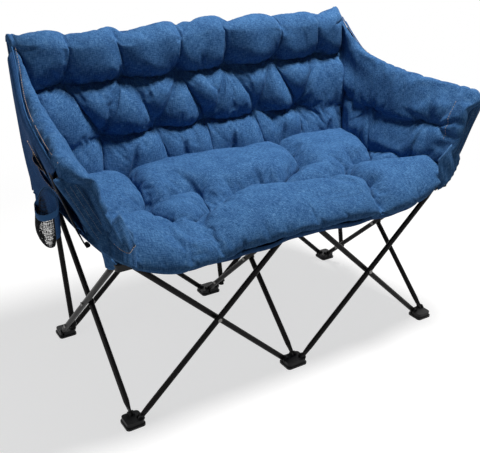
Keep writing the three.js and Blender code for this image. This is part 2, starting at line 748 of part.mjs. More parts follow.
function backCushion() {
  const tufts = [...tuftRow(upperTufts, upperTuftHeight), ...tuftRow(lowerTufts, lowerTuftHeight)];
  const reach = bay + backOverhang;
  const folds = [upperTuftHeight, lowerTuftHeight].map((height) => [[-reach, height], [reach, height]]);
  const place = (u, v) => {
    const height = THREE.MathUtils.lerp(backBottom, backTopHeight, v);
    const halfWidth = bay + backOverhang + backFlare * v;
    return new THREE.Vector3((2 * u - 1) * halfWidth, backMiddleY(height), height);
  };
  const front = (u, v, p) => backPuff - backTuftDepth * drawnIn(p.x, p.z, tufts, folds);
  const geometry = paddedPanel({
    across: 32, along: 16, place, front, back: backBacking, rimShares: [0.05, 0.13],
  });
  addMesh('back_cushion', geometry, paddingMaterial);
}

// Top edge of an arm, from its front corner to the back's corner: shares of its depth and of its climb.
const armTopShares = [[0, 0], [0.38, 0.07], [0.63, 0.18], [0.78, 0.35], [0.92, 0.7], [1, 1]];

function armTop(u) {
  const places = armTopShares.map(([y, z]) => new THREE.Vector3(0, y, z));
  return new THREE.CatmullRomCurve3(places, false, 'centripetal').getPoint(u);
}

const sleeveRadius = (tubeRadius + clothGap) / Math.cos(Math.PI / tubeSides) + sleeveWall;
const armBottom = hubTop + armBottomLift;
const armCornerHeight = backTopHeight - armCornerDrop;
const armRearY = (height) => {
  const share = (height - armBottom) / (armCornerHeight - armBottom);
  return backMiddleY(height) - THREE.MathUtils.lerp(backPuff + armBackGap, armCornerGap, share);
};
const armPostOut = (height) => armPinOut + (armTopOut * (height - hubTop - armPinLift)) / armTopLift;
const armPostTilt = Math.hypot(armTopOut, armTopLift) / armTopLift;

// Upright surface beside the seat, from the arm post at u = 0 to the back at u = 1.
function armSurface({ side, u, v, frontY, rearY, frontOut, rearOut, roll }) {
  const edge = armTop(u);
  const topZ = THREE.MathUtils.lerp(armFrontHeight + roll, armCornerHeight, edge.z);
  const topY = THREE.MathUtils.lerp(frontY, rearY(armCornerHeight), edge.y);
  const footY = THREE.MathUtils.lerp(frontY, rearY(armBottom), edge.y);
  const topOut = THREE.MathUtils.lerp(frontOut(armFrontHeight), rearOut(1), edge.y);
  const footOut = THREE.MathUtils.lerp(frontOut(armBottom), rearOut(0), edge.y);
  return new THREE.Vector3(
    side * (bay + THREE.MathUtils.lerp(footOut, topOut, v)),
    THREE.MathUtils.lerp(footY, topY, v),
    THREE.MathUtils.lerp(armBottom, topZ, v),
  );
}

function armCushion(side) {
  const frontY = -rowHalf + sleeveRadius + clothGap;
  const tuftHeight = (armBottom + armFrontHeight) / 2;
  const depth = armRearY(armBottom) - frontY;
  const tufts = [[frontY + depth / 3, tuftHeight], [frontY + (2 * depth) / 3, tuftHeight]];
  const folds = [[[frontY + depth / 3, tuftHeight], [frontY + depth, tuftHeight]]];
  const rearOut = (v) => THREE.MathUtils.lerp(-armBottomIn, armRearOut, v);
  const place = (u, v) => armSurface({
    side,
    u: side < 0 ? u : 1 - u,
    v,
    frontY,
    rearY: armRearY,
    frontOut: armPostOut,
    rearOut,
    roll: armRollHeight,
  });
  const front = (u, v, p) => armPuff - armTuftDepth * drawnIn(p.y, p.z, tufts, folds);
  const geometry = paddedPanel({
    across: 14, along: 8, place, front, back: armBacking, rimShares: [0.13, 0.2],
  });
  addMesh(`${side < 0 ? 'left' : 'right'}_arm_cushion`, geometry, paddingMaterial);
}

function sidePanel(side) {
  const standOff = (sleeveRadius + clothGap + panelThickness / 2) * armPostTilt;
  const outsideEars = armPinOut + earRadius + clothGap + panelThickness;
  const place = (u, v) => armSurface({
    side, u, v,
    frontY: -rowHalf,
    rearY: (height) => postY(height) + tubeRadius,
    frontOut: (height) => Math.max(outsideEars, armPostOut(height) + standOff),
    rearOut: (share) => backOverhang + backFlare * share + panelRearOut,
    roll: 0,
  });
  const geometry = clothPanel({ across: 12, along: 5, place, thickness: panelThickness });
  addMesh(`${side < 0 ? 'left' : 'right'}_side_panel`, geometry, panelMaterial);
}

function rearCover() {
  const offset = tubeRadius / postDirection.z + clothGap + coverThickness / 2;
  const place = (u, v) => {
    const height = THREE.MathUtils.lerp(hubTop + armBottomLift, backTopHeight - backBacking, v);
    const halfWidth = bay + backOverhang + backFlare * v;
    return new THREE.Vector3((2 * u - 1) * halfWidth, postY(height) + offset, height);
  };
  addMesh('rear_cover', clothPanel({ across: 8, along: 4, place, thickness: coverThickness }), panelMaterial);
}

// Net cup holder hung beside the frame, with a cloth band round its mouth.
function cupHolder(side) {
  const name = side < 0 ? 'left' : 'right';
  const centreX = side * (bay + plateOuterReach + cupGap + cupBandWall + seatGap + cupHalfWidth);
  const rimZ = armBottom - 2 * seatGap;
  const oval = (z, growth, share) => Array.from({ length: cupSides }, (_, i) => {
    const angle = (2 * Math.PI * i) / cupSides;
    const x = centreX + (cupHalfWidth * share + growth) * Math.cos(angle);
    return new THREE.Vector3(x, cupCentreY + (cupHalfDepth * share + growth) * Math.sin(angle), z);
  });
  const floorZ = rimZ - cupDepth;
  const outer = loft([
    oval(floorZ, 0, cupFloorShare), oval(floorZ + cupDepth / 2, 0, 1), oval(rimZ, 0, 1),
  ]);
  const hollow = loft([
    oval(floorZ + cupWall, -cupWall, cupFloorShare), oval(floorZ + cupDepth / 2, -cupWall, 1),
    oval(rimZ + cupWall, -cupWall, 1),
  ]);
  addMesh(`${name}_cup_holder_net`, toGeometry(toSolid(outer).subtract(toSolid(hollow))), netMaterial);
  const bandGrowth = seatGap + cupBandWall;
  const band = loft([oval(rimZ - cupBandHeight, bandGrowth, 1), oval(rimZ, bandGrowth, 1)]);
  const mouth = loft([oval(rimZ - cupBandHeight - cupWall, seatGap, 1), oval(rimZ + cupWall, seatGap, 1)]);
  addMesh(`${name}_cup_holder_band`, toGeometry(toSolid(band).subtract(toSolid(mouth))), panelMaterial);
}

for (const row of [-1, 1]) {
  addLateralPair(-1, row);
  addLateralPair(0, row);
}
for (const column of [-1, 0, 1]) addSidePair(column);
addMouldings();
for (const column of [-1, 0, 1]) addBackPost(column);
for (const side of [-1, 1]) {
  addArmPost(side);
  armCushion(side);
  sidePanel(side);
  cupHolder(side);
}
seatCushion();
backCushion();
rearCover();

// The origin is on the floor under the middle of the whole seat's box.
const extent = new THREE.Box3().setFromObject(loveseat);
loveseat.position.y = -(extent.min.y + extent.max.y) / 2;

export default loveseat;
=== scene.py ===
"""A folding camping loveseat: quilted fabric on a steel scissor frame.

Lengths are metres: X runs from the left arm to the right one, Y to the back, Z up. Depths (Y) are
written from the line halfway between the two rows of feet, and ROW moves them into the frame.
"""

import math

import bmesh
import bpy
import numpy as np
from mathutils import Matrix, Vector
from mathutils.bvhtree import BVHTree


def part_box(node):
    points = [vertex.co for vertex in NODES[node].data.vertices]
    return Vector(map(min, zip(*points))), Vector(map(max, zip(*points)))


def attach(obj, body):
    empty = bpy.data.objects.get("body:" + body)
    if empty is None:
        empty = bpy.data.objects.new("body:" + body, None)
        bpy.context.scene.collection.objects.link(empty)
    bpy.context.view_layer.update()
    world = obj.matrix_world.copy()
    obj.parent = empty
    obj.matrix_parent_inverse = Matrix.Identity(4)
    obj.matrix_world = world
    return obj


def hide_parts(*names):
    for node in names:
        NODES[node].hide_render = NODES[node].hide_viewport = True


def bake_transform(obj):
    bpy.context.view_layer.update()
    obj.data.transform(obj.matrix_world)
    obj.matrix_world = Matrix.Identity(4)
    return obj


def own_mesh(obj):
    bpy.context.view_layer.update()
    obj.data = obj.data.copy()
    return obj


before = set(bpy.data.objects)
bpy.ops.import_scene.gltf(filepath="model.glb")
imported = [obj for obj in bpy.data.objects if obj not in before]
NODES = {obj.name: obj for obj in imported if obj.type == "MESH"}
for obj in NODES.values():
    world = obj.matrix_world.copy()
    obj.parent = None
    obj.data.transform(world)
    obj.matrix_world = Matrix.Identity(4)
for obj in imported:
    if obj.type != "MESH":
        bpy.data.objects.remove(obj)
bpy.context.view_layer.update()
SIDES = {"left": -1, "right": 1}


def centre(node):
    low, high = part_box(node)
    return (low + high) / 2


ROW = (centre("front_middle_foot").y + centre("rear_middle_foot").y) / 2
HUB_X = centre("rear_right_hub").x

# Camera: fitted to the feet, hubs and crossings in the photograph
LENS = 53.81
SENSOR = 36.0
YAW = math.radians(32.498)
PITCH = math.radians(24.42)
ROLL = math.radians(0.603)
EYE = Vector((-1.080657, -1.647781 + ROW, 1.237645))
FARTHEST_SEEN = 50


def make_camera():
    ahead = Vector((math.sin(YAW) * math.cos(PITCH), math.cos(YAW) * math.cos(PITCH), -math.sin(PITCH)))
    level = Vector((math.cos(YAW), -math.sin(YAW), 0))
    over = level.cross(ahead)
    right = math.cos(ROLL) * level + math.sin(ROLL) * over
    up = -math.sin(ROLL) * level + math.cos(ROLL) * over
    data = bpy.data.cameras.new("camera")
    data.lens = LENS
    data.sensor_width = SENSOR
    data.clip_end = FARTHEST_SEEN
    camera = bpy.data.objects.new("camera", data)
    bpy.context.scene.collection.objects.link(camera)
    turn = Matrix((right, up, -ahead)).transposed().to_4x4()
    camera.matrix_world = Matrix.Translation(EYE) @ turn
    bpy.context.scene.camera = camera


# Materials

# Repeats of the cloth's grain over a metre, both ways
WARP = (620, 70, 1)
WEFT = (80, 520, 1)
FADING = (22, 22, 1)
WEAVE = (260, 260, 1)
WEAVE_HEIGHT = 0.0006
SPECK = 0.25


class Shade:
    """A node material with short calls to add and join nodes."""

    def __init__(self, name, colour, roughness):
        self.material = bpy.data.materials.new(name)
        self.material.use_nodes = True
        self.tree = self.material.node_tree
        self.shader = self.tree.nodes["Principled BSDF"]
        self.shader.inputs["Base Color"].default_value = (*colour, 1)
        self.shader.inputs["Roughness"].default_value = roughness

    def set(self, **values):
        for name, value in values.items():
            self.shader.inputs[name.replace("_", " ")].default_value = value
        return self

    def node(self, kind, **values):
        made = self.tree.nodes.new(kind)
        for name, value in values.items():
            if hasattr(made, name):
                setattr(made, name, value)
            else:
                made.inputs[name.replace("_", " ")].default_value = value
        return made

    def join(self, out, into):
        self.tree.links.new(out, into)

    def place(self, source, scale):
        """Texture coordinates, multiplied by scale."""
        found = self.node("ShaderNodeTexCoord").outputs[source]
        moved = self.node("ShaderNodeMapping")
        moved.inputs["Scale"].default_value = scale
        self.join(found, moved.inputs["Vector"])
        return moved.outputs["Vector"]

    def noise(self, where, scale, detail=2.0, roughness=0.5):
        made = self.node("ShaderNodeTexNoise", Scale=scale, Detail=detail, Roughness=roughness)
        self.join(where, made.inputs["Vector"])
        return made.outputs["Fac"]

    def ramp(self, value, *stops):
        """Maps a value to colours: each stop is (place, colour)."""
        made = self.node("ShaderNodeValToRGB")
        stretch = made.color_ramp.elements
        while len(stretch) < len(stops):
            stretch.new(0.5)
        for element, (place, colour) in zip(stretch, stops):
            element.position = place
            element.color = (*colour, 1)
        self.join(value, made.inputs["Fac"])
        return made.outputs["Color"]

    def mix(self, amount, a, b, kind="MIX"):
        made = self.node("ShaderNodeMix", data_type="RGBA", blend_type=kind)
        for value, socket in ((amount, made.inputs[0]), (a, made.inputs[6]), (b, made.inputs[7])):
            if isinstance(value, bpy.types.NodeSocket):
                self.join(value, socket)
            else:
                socket.default_value = (*value, 1) if isinstance(value, tuple) else value
        return made.outputs[2]

    def sum(self, a, b, kind="ADD"):
        made = self.node("ShaderNodeMath", operation=kind)
        for value, socket in zip((a, b), made.inputs):
            if isinstance(value, bpy.types.NodeSocket):
                self.join(value, socket)
            else:
                socket.default_value = value
        return made.outputs[0]

    def bump(self, height, strength, distance):
        made = self.node("ShaderNodeBump", Strength=strength, Distance=distance)
        self.join(height, made.inputs["Height"])
        self.join(made.outputs["Normal"], self.shader.inputs["Normal"])

    def colour(self, out):
        self.join(out, self.shader.inputs["Base Color"])


def denim(name, deep, mid, pale, sheen):
    """Heathered woven fabric: slubs along warp and weft, a fine weave, and paler worn edges."""
    shade = Shade(name, mid, 0.82)
    shade.set(Sheen_Weight=sheen, Sheen_Roughness=0.45, Specular_IOR_Level=0.06)
    shade.shader.inputs["Sheen Tint"].default_value = (0.55, 0.72, 1.0, 1)
    warp = shade.noise(shade.place("UV", WARP), 1.0, 3.0, 0.65)
    weft = shade.noise(shade.place("UV", WEFT), 1.0, 3.0, 0.65)
    blotch = shade.noise(shade.place("UV", FADING), 1.0, 2.0)
    slubs = shade.sum(shade.sum(warp, weft), 0.5, "MULTIPLY")
    tone = shade.ramp(slubs, (0.36, deep), (0.5, mid), (0.66, pale))
    faded = shade.ramp(blotch, (0.3, (0.76, 0.80, 0.85)), (0.7, (1.14, 1.11, 1.08)))
    worn = shade.mix(1.0, tone, faded, "MULTIPLY")
    edge = shade.node("ShaderNodeNewGeometry").outputs["Pointiness"]
    rubbed = shade.ramp(edge, (0.5, (0, 0, 0)), (0.6, (0.3, 0.3, 0.3)))
    shade.colour(shade.mix(rubbed, worn, pale))
    weave = shade.node("ShaderNodeTexWave", wave_type="BANDS", Scale=1.0, Distortion=1.5)
    shade.join(shade.place("UV", WEAVE), weave.inputs["Vector"])
    height = shade.sum(shade.sum(weave.outputs["Fac"], 0.35, "MULTIPLY"), slubs)
    shade.bump(height, 0.35, WEAVE_HEIGHT)
    return shade.material


def plain(name, colour, roughness, scale, depth, **extra):
    """A hard or thin material with fine grain in its colour and surface."""
    shade = Shade(name, colour, roughness)
    shade.set(**extra)
    grain = shade.noise(shade.place("Object", (1, 1, 1)), scale, 4.0, 0.6)
    low = tuple(c * (1 - SPECK) for c in colour)
    high = tuple(c * (1 + SPECK) for c in colour)
    shade.colour(shade.ramp(grain, (0.3, low), (0.7, high)))
    shade.bump(grain, 0.5, depth)
    return shade.material


PADDING = denim("padding_denim", (0.011, 0.048, 0.140), (0.036, 0.114, 0.272), (0.120, 0.256, 0.47), 0.02)
PANEL = denim("panel_denim", (0.011, 0.040, 0.122), (0.021, 0.071, 0.198), (0.050, 0.134, 0.30), 0.02)
# Near-black denim, painted shade: it stands for the shadow deep inside the pocket mouths
POCKET_SHADE = denim("pocket_shade_denim", (0.01, 0.016, 0.035), (0.02, 0.03, 0.06), (0.035, 0.05, 0.09), 0.05)
STEEL = plain("powder_coat", (0.010, 0.009, 0.009), 0.36, 900, 0.00012, Specular_IOR_Level=0.08)
RIVET = plain("rivet_steel", (0.16, 0.155, 0.15), 0.35, 700, 0.0001, Metallic=0.9)
PLASTIC = plain("moulded_black", (0.011, 0.011, 0.012), 0.42, 1500, 0.00015, Specular_IOR_Level=0.2)
NET = plain("net_cord", (0.016, 0.017, 0.02), 0.7, 2000, 0.0001, Specular_IOR_Level=0.1)
STRAP = plain("webbing_black", (0.010, 0.011, 0.014), 0.8, 1200, 0.0003, Specular_IOR_Level=0.06)
THREAD = plain("tan_thread", (0.42, 0.33, 0.27), 0.75, 3000, 0.0001, Specular_IOR_Level=0.2)
BLUE_THREAD = plain("blue_thread", (0.20, 0.25, 0.34), 0.75, 3000, 0.0001, Specular_IOR_Level=0.2)


# Mesh helpers


def smooth(low, high, value):
    t = np.clip((np.asarray(value, float) - low) / (high - low), 0, 1)
    return t * t * (3 - 2 * t)


def dip(distance, width):
    """A smooth pit or groove: 1 in its middle, 0 well outside its width."""
    return np.exp(-((np.asarray(distance) / width) ** 2))


def spline(points, count):
    """Catmull-Rom points through a list of points, evenly spaced."""
    p = np.asarray(points, float)
    ends = np.vstack([2 * p[0] - p[1], p, 2 * p[-1] - p[-2]])
    fine = []
    for a, b, c, d in zip(ends, ends[1:], ends[2:], ends[3:]):
        for t in np.linspace(0, 1, 24, endpoint=False):
            fine.append(0.5 * (2 * b + (c - a) * t + (2 * a - 5 * b + 4 * c - d) * t * t
                               + (3 * b - a - 3 * c + d) * t ** 3))
    fine = np.vstack([fine, p[-1:]])
    run = np.concatenate([[0], np.cumsum(np.linalg.norm(np.diff(fine, axis=0), axis=1))])
    want = np.linspace(0, run[-1], count)
    return np.stack([np.interp(want, run, fine[:, k]) for k in range(p.shape[1])], axis=1)


def nearest_on(x, y, line):
    """From points (x, y) to a bent line: the distance, and the way there in X and in Y."""
    best = np.full(np.shape(x), 1e9)
    to_x, to_y = np.zeros(np.shape(x)), np.zeros(np.shape(x))
    for (ax, ay), (bx, by) in zip(line, line[1:]):
        dx, dy = bx - ax, by - ay
        t = np.clip(((x - ax) * dx + (y - ay) * dy) / (dx * dx + dy * dy), 0, 1)
        off_x, off_y = ax + t * dx - x, ay + t * dy - y
        run = np.hypot(off_x, off_y)
        nearer = run < best
        best = np.where(nearer, run, best)
        to_x = np.where(nearer, off_x, to_x)
        to_y = np.where(nearer, off_y, to_y)
    return best, to_x, to_y


def line_distance(x, y, line):
    return nearest_on(x, y, line)[0]


def pinched(x, y, lines, width=0.014, amount=0.0075):
    """Where points go when cloth closes over its creases: lines is (crease, strength)."""
    move_x, move_y = np.zeros(np.shape(x)), np.zeros(np.shape(x))
    for line, strength in lines:
        run, to_x, to_y = nearest_on(x, y, line)
        pull_in = strength * amount * run / width * np.exp(1 - run / width)
        move_x += pull_in * (to_x / np.maximum(run, 1e-6))
        move_y += pull_in * (to_y / np.maximum(run, 1e-6))
    size = np.maximum(np.hypot(move_x, move_y), 1e-9)
    most = 1.6 * amount
    limit = most * np.tanh(size / most) / size
    return x + move_x * limit, y + move_y * limit


def mesh_object(name, points, faces, material, uv=None, shaded=True):
    data = bpy.data.meshes.new(name)
    data.from_pydata([tuple(p) for p in points], [], faces)
    if uv is not None:
        layer = data.uv_layers.new(name="fabric")
        corners = np.zeros(len(data.loops), np.int32)
        data.loops.foreach_get("vertex_index", corners)
        layer.data.foreach_set("uv", np.asarray(uv, np.float32)[corners].ravel())
    data.materials.append(material)
    for polygon in data.polygons:
        polygon.use_smooth = shaded
    data.validate()
    made = bpy.data.objects.new(name, data)
    bpy.context.scene.collection.objects.link(made)
    return made


def grid_faces(rows, columns, start=0, flip=False, around=False):
    faces = []
    last = columns if around else columns - 1
    for i in range(rows - 1):
        for j in range(last):
            a = start + i * columns + j
            b = start + i * columns + (j + 1) % columns
            quad = (a, b, b + columns, a + columns)
            faces.append(quad[::-1] if flip else quad)
    return faces


def tube_faces(rings, around, start=0, flip=False):
    """Faces of rings of points, closed at both ends."""
    first = tuple(range(start, start + around))
    last = tuple(k + (rings - 1) * around for k in first)
    ends = [first, last[::-1]] if flip else [first[::-1], last]
    return grid_faces(rings, around, start, flip, around=True) + ends


def rim_of(shape):
    """True along the four sides of a grid."""
    rim = np.ones(shape, bool)
    rim[1:-1, 1:-1] = False
    return rim


def cloth_uv(grid):
    """Fabric coordinates in metres, from the run along both ways of a grid of points."""
    across = np.linalg.norm(np.diff(grid, axis=1), axis=2).mean(axis=0)
    along = np.linalg.norm(np.diff(grid, axis=0), axis=2).mean(axis=1)
    u = np.concatenate([[0], np.cumsum(across)])
    v = np.concatenate([[0], np.cumsum(along)])
    return np.stack(np.meshgrid(u, v), axis=2)


def grid_area(grid):
    """Area of a grid of points, in square metres."""
    a = np.cross(grid[1:, :-1] - grid[:-1, :-1], grid[1:, 1:] - grid[:-1, :-1])
    b = np.cross(grid[1:, 1:] - grid[:-1, :-1], grid[:-1, 1:] - grid[:-1, :-1])
    return float(0.5 * np.linalg.norm(a, axis=2).sum() + 0.5 * np.linalg.norm(b, axis=2).sum())


def sheet_object(name, grid, material, thick, flip=False):
    rows, columns = grid.shape[:2]
    made = mesh_object(name, grid.reshape(-1, 3), grid_faces(rows, columns, flip=flip), material,
                       cloth_uv(grid).reshape(-1, 2))
    shell = made.modifiers.new("thickness", "SOLIDIFY")
    shell.thickness = thick
    shell.offset = 0
    return made


def closed_pad(name, front, back, material, flip=False):
    """A pad of two grids that share the front one's rim. Its first vertices are the front's."""
    rows, columns = front.shape[:2]
    index = np.arange(rows * columns).reshape(rows, columns)
    back_index = index.copy()
    inner = back[1:-1, 1:-1].reshape(-1, 3)
    back_index[1:-1, 1:-1] = rows * columns + np.arange(len(inner)).reshape(rows - 2, columns - 2)
    points = np.vstack([front.reshape(-1, 3), inner])
    uv = np.vstack([cloth_uv(front).reshape(-1, 2), cloth_uv(back)[1:-1, 1:-1].reshape(-1, 2)])
    faces = []
    for i in range(rows - 1):
        for j in range(columns - 1):
            f = (index[i, j], index[i, j + 1], index[i + 1, j + 1], index[i + 1, j])
            b = tuple(back_index[k] for k in ((i, j), (i + 1, j), (i + 1, j + 1), (i, j + 1)))
            faces.append(tuple(int(k) for k in (f[::-1] if flip else f)))
            faces.append(tuple(int(k) for k in (b[::-1] if flip else b)))
    return mesh_object(name, points, faces, material, uv)


def tube_object(name, path, radius, material, sides=8):
    """A thin round tube, such as piping, along a path of points."""
    path = np.asarray(path, float)
    apart = np.linalg.norm(np.diff(path, axis=0), axis=1) > 1e-5
    path = path[np.concatenate([[True], apart])]
    run = np.vstack([path[1:], 2 * path[-1] - path[-2]]) - np.vstack([2 * path[0] - path[1], path[:-1]])
    run /= np.linalg.norm(run, axis=1)[:, None]
    side = np.cross(run, (0.0, 0.0, 1.0))
    weak = np.linalg.norm(side, axis=1) < 0.2
    side[weak] = np.cross(run[weak], (0.0, 1.0, 0.0))
    side /= np.linalg.norm(side, axis=1)[:, None]
    over = np.cross(side, run)
    angles = np.linspace(0, 2 * math.pi, sides, endpoint=False)
    rings = (path[:, None] + radius * (np.cos(angles)[None, :, None] * side[:, None]
                                       + np.sin(angles)[None, :, None] * over[:, None]))
    return mesh_object(name, rings.reshape(-1, 3), tube_faces(len(path), sides), material)


def apply_modifiers(piece):
    bpy.context.view_layer.update()
    graph = bpy.context.evaluated_depsgraph_get()
    data = bpy.data.meshes.new_from_object(piece.evaluated_get(graph), depsgraph=graph)
    piece.modifiers.clear()
    piece.data = data


# Length of a stitch, gap to the next, and radius of the thread
POCKET_STITCH = (0.007, 0.0015, 0.0009)
SEAM_STITCH = (0.006, 0.002, 0.0009)
FRONT_STITCH = (0.005, 0.003, 0.0009)
STRIP_STITCH = (0.004, 0.0012, 0.0006)
FRAY_STITCH = (0.004, 0.001, 0.0010)


def stitch_line(name, path, stitch, material=THREAD):
    """A row of sewn stitches that lies along a path."""
    length, gap, radius = stitch
    path = np.asarray(path, float)
    run = np.concatenate([[0], np.cumsum(np.linalg.norm(np.diff(path, axis=0), axis=1))])
    points, faces = [], []
    sides = 5
    for start in np.arange(0, run[-1] - length, length + gap):
        ends = np.array([[np.interp(start + k * length, run, path[:, a]) for a in range(3)]
                         for k in (0, 0.5, 1)])
        ahead = ends[2] - ends[0]
        ahead /= np.linalg.norm(ahead)
        side = np.cross(ahead, (0.0, 0.0, 1.0) if abs(ahead[2]) < 0.9 else (0.0, 1.0, 0.0))
        side /= np.linalg.norm(side)
        over = np.cross(side, ahead)
        faces += tube_faces(len(ends), sides, len(points))
        for spot, size in zip(ends, (0.5, 1.0, 0.5)):
            for k in range(sides):
                angle = 2 * math.pi * k / sides
                points.append(spot + radius * size * (math.cos(angle) * side + math.sin(angle) * over))
    return mesh_object(name, points, faces, material)


CLOTH = {
    "quality": 4, "mass": 0.25, "pin_stiffness": 1, "air_damping": 4,
    "tension_stiffness": 18, "compression_stiffness": 18, "shear_stiffness": 6, "bending_stiffness": 0.3,
    "tension_damping": 12, "compression_damping": 12, "shear_damping": 8, "bending_damping": 0.6,
    "use_pressure": True, "uniform_pressure_force": 3.0,
}
CLOTH_FRAMES = 15


def inflate(piece, held, slack, cap):
    """Blows a pad up as loose cloth, each point by no more than about cap.

    held is 1 where one of the first vertices stays and 0 where it is free. The other vertices stay.
    """
    rest = np.zeros(len(piece.data.vertices) * 3)
    piece.data.vertices.foreach_get("co", rest)
    rest = rest.reshape(-1, 3)
    hold = np.ones(len(rest))
    hold[:held.size] = np.clip(held, 0, 1).ravel()
    group = piece.vertex_groups.new(name="hold")
    for level in np.unique(np.round(hold, 2)):
        chosen = np.nonzero(np.round(hold, 2) == level)[0]
        group.add([int(k) for k in chosen], float(level), "REPLACE")
    cloth = piece.modifiers.new("cloth", "CLOTH")
    for name, value in CLOTH.items():
        setattr(cloth.settings, name, value)
    cloth.settings.shrink_min = -slack
    cloth.settings.vertex_group_mass = "hold"
    cloth.settings.effector_weights.gravity = 0
    cloth.collision_settings.use_collision = False
    cloth.point_cache.frame_start = 1
    cloth.point_cache.frame_end = CLOTH_FRAMES
    scene = bpy.context.scene
    for number in range(1, CLOTH_FRAMES + 1):
        scene.frame_set(number)
    found = piece.evaluated_get(bpy.context.evaluated_depsgraph_get()).data
    moved = np.zeros(len(found.vertices) * 3)
    found.vertices.foreach_get("co", moved)
    step = moved.reshape(-1, 3) - rest
    piece.modifiers.remove(cloth)
    far = np.linalg.norm(step, axis=1)[:, None]
    step *= cap * np.tanh(far / cap) / np.maximum(far, 1e-9)
    piece.data.vertices.foreach_set("co", (rest + step).ravel())
    piece.data.update()
    piece.vertex_groups.clear()
    scene.frame_set(1)


def refine(piece, levels=1):
    finer = piece.modifiers.new("refine", "SUBSURF")
    finer.levels = levels
    finer.render_levels = levels
    apply_modifiers(piece)


# Floor, backdrop and lights

WORLD_TINT = (0.84, 0.92, 1.0, 1)
WORLD_LIGHT = 0.035
WHITE = (1, 1, 1, 1)
FLOOR_HALF = 12.0
FLOOR_GLOW = 0.66
FLOOR_REACH = (0.5, 0.5, 0.5)
FLOOR_FADE = 0.55
LAMPS = (
    # (name, place, diameter, watts, tint)
    ("key", (0.85, -0.22, 3.3), 0.8, 126, (1.0, 0.985, 0.96)),
    ("fill", (-0.6, -3.2, 1.5), 2.0, 2.4, (0.92, 0.96, 1.0)),
    ("side", (-2.1, -0.3, 0.6), 0.9, 5, (1.0, 1.0, 1.0)),
)
LAMPS_AIM = Vector((0, 0, 0.5))


def seen_rays(tree):
    """1 for the rays that show the backdrop, 0 for those that only light the seat."""
    path = tree.nodes.new("ShaderNodeLightPath")
    found = path.outputs["Is Camera Ray"]
    for name in ("Is Glossy Ray", "Is Transmission Ray"):
        most = tree.nodes.new("ShaderNodeMath")
        most.operation = "MAXIMUM"
        tree.links.new(found, most.inputs[0])
        tree.links.new(path.outputs[name], most.inputs[1])
        found = most.outputs[0]
    return found


def make_world():
    """White where it is seen, and a soft dim light on the seat."""
    world = bpy.data.worlds.new("studio")
    bpy.context.scene.world = world
    world.use_nodes = True
    tree = world.node_tree
    soft = tree.nodes["Background"]
    white = tree.nodes.new("ShaderNodeBackground")
    for backdrop, tint, strength in ((soft, WORLD_TINT, WORLD_LIGHT), (white, WHITE, 1.0)):
        backdrop.inputs["Color"].default_value = tint
        backdrop.inputs["Strength"].default_value = strength
    pick = tree.nodes.new("ShaderNodeMixShader")
    for number, out in enumerate((seen_rays(tree), soft.outputs[0], white.outputs[0])):
        tree.links.new(out, pick.inputs[number])
    tree.links.new(pick.outputs[0], tree.nodes["World Output"].inputs[0])


def make_floor():
    """Pale floor that keeps the seat's shadow and turns white away from it."""
    shade = Shade("studio_floor", (0.42, 0.42, 0.425), 0.7)
    shade.set(Specular_IOR_Level=0.1)
    grain = shade.noise(shade.place("Object", (1, 1, 1)), 3.0)
    shade.colour(shade.ramp(grain, (0.3, (0.41, 0.41, 0.415)), (0.7, (0.43, 0.43, 0.435))))
    near = shade.node("ShaderNodeEmission", Strength=FLOOR_GLOW)
    far = shade.node("ShaderNodeEmission", Strength=1.0)
    glowing = shade.node("ShaderNodeAddShader")
    reach = shade.node("ShaderNodeTexGradient", gradient_type="SPHERICAL")
    fade = shade.node("ShaderNodeMapRange", interpolation_type="SMOOTHSTEP")
    fade.inputs["From Max"].default_value = FLOOR_FADE
    shown = shade.node("ShaderNodeMixShader")
    pick = shade.node("ShaderNodeMixShader")
    lit = shade.shader.outputs[0]
    for out, into in (
            (shade.place("Object", FLOOR_REACH), reach.inputs["Vector"]),
            (reach.outputs["Fac"], fade.inputs["Value"]),
            (lit, glowing.inputs[0]), (near.outputs[0], glowing.inputs[1]),
            (fade.outputs["Result"], shown.inputs[0]), (far.outputs[0], shown.inputs[1]),
            (glowing.outputs[0], shown.inputs[2]), (seen_rays(shade.tree), pick.inputs[0]),
            (lit, pick.inputs[1]), (shown.outputs[0], pick.inputs[2]),
            (pick.outputs[0], shade.tree.nodes["Material Output"].inputs["Surface"])):
        shade.join(out, into)
    corners = [(x * FLOOR_HALF, y * FLOOR_HALF, 0) for x, y in ((-1, -1), (1, -1), (1, 1), (-1, 1))]
    mesh_object("floor", corners, [(0, 1, 2, 3)], shade.material, shaded=False)


def make_lamps():
    """A key light from above the right arm, and two weak ones in front and at the left."""
    for name, place, size, power, tint in LAMPS:
        lamp = bpy.data.lights.new(name, "AREA")
        lamp.shape = "DISK"
        lamp.size = size
        lamp.energy = power
        lamp.color = tint
        made = bpy.data.objects.new(name, lamp)
        bpy.context.scene.collection.objects.link(made)
        made.location = place
        made.rotation_euler = (LAMPS_AIM - Vector(place)).to_track_quat("-Z", "Y").to_euler()


# The hard frame: the CAD nodes with finished materials

MOULDED_EDGE = 0.0012
MOULDED_ANGLE = math.radians(32)
SHARP_ANGLE = math.radians(38)


def dress_frame():
    """Finishes for the frame's own nodes. The cloth nodes are hidden by what replaces them."""
    for name, node in NODES.items():
        if "rivet" in name:
            finish = RIVET
        elif any(word in name for word in ("foot", "hub", "cap")):
            finish = PLASTIC
        elif "leg" in name or "post" in name:
            finish = STEEL
        else:
            finish = PANEL
        node.data.materials.clear()
        node.data.materials.append(finish)
        for polygon in node.data.polygons:
            polygon.use_smooth = True
        if finish is PLASTIC:
            bevel = node.modifiers.new("moulded_edges", "BEVEL")
            bevel.width = MOULDED_EDGE
            bevel.segments = 2
            bevel.limit_method = "ANGLE"
            bevel.angle_limit = MOULDED_ANGLE
            bevel.harden_normals = False
        split = node.modifiers.new("flat_ends", "EDGE_SPLIT")
        split.split_angle = SHARP_ANGLE
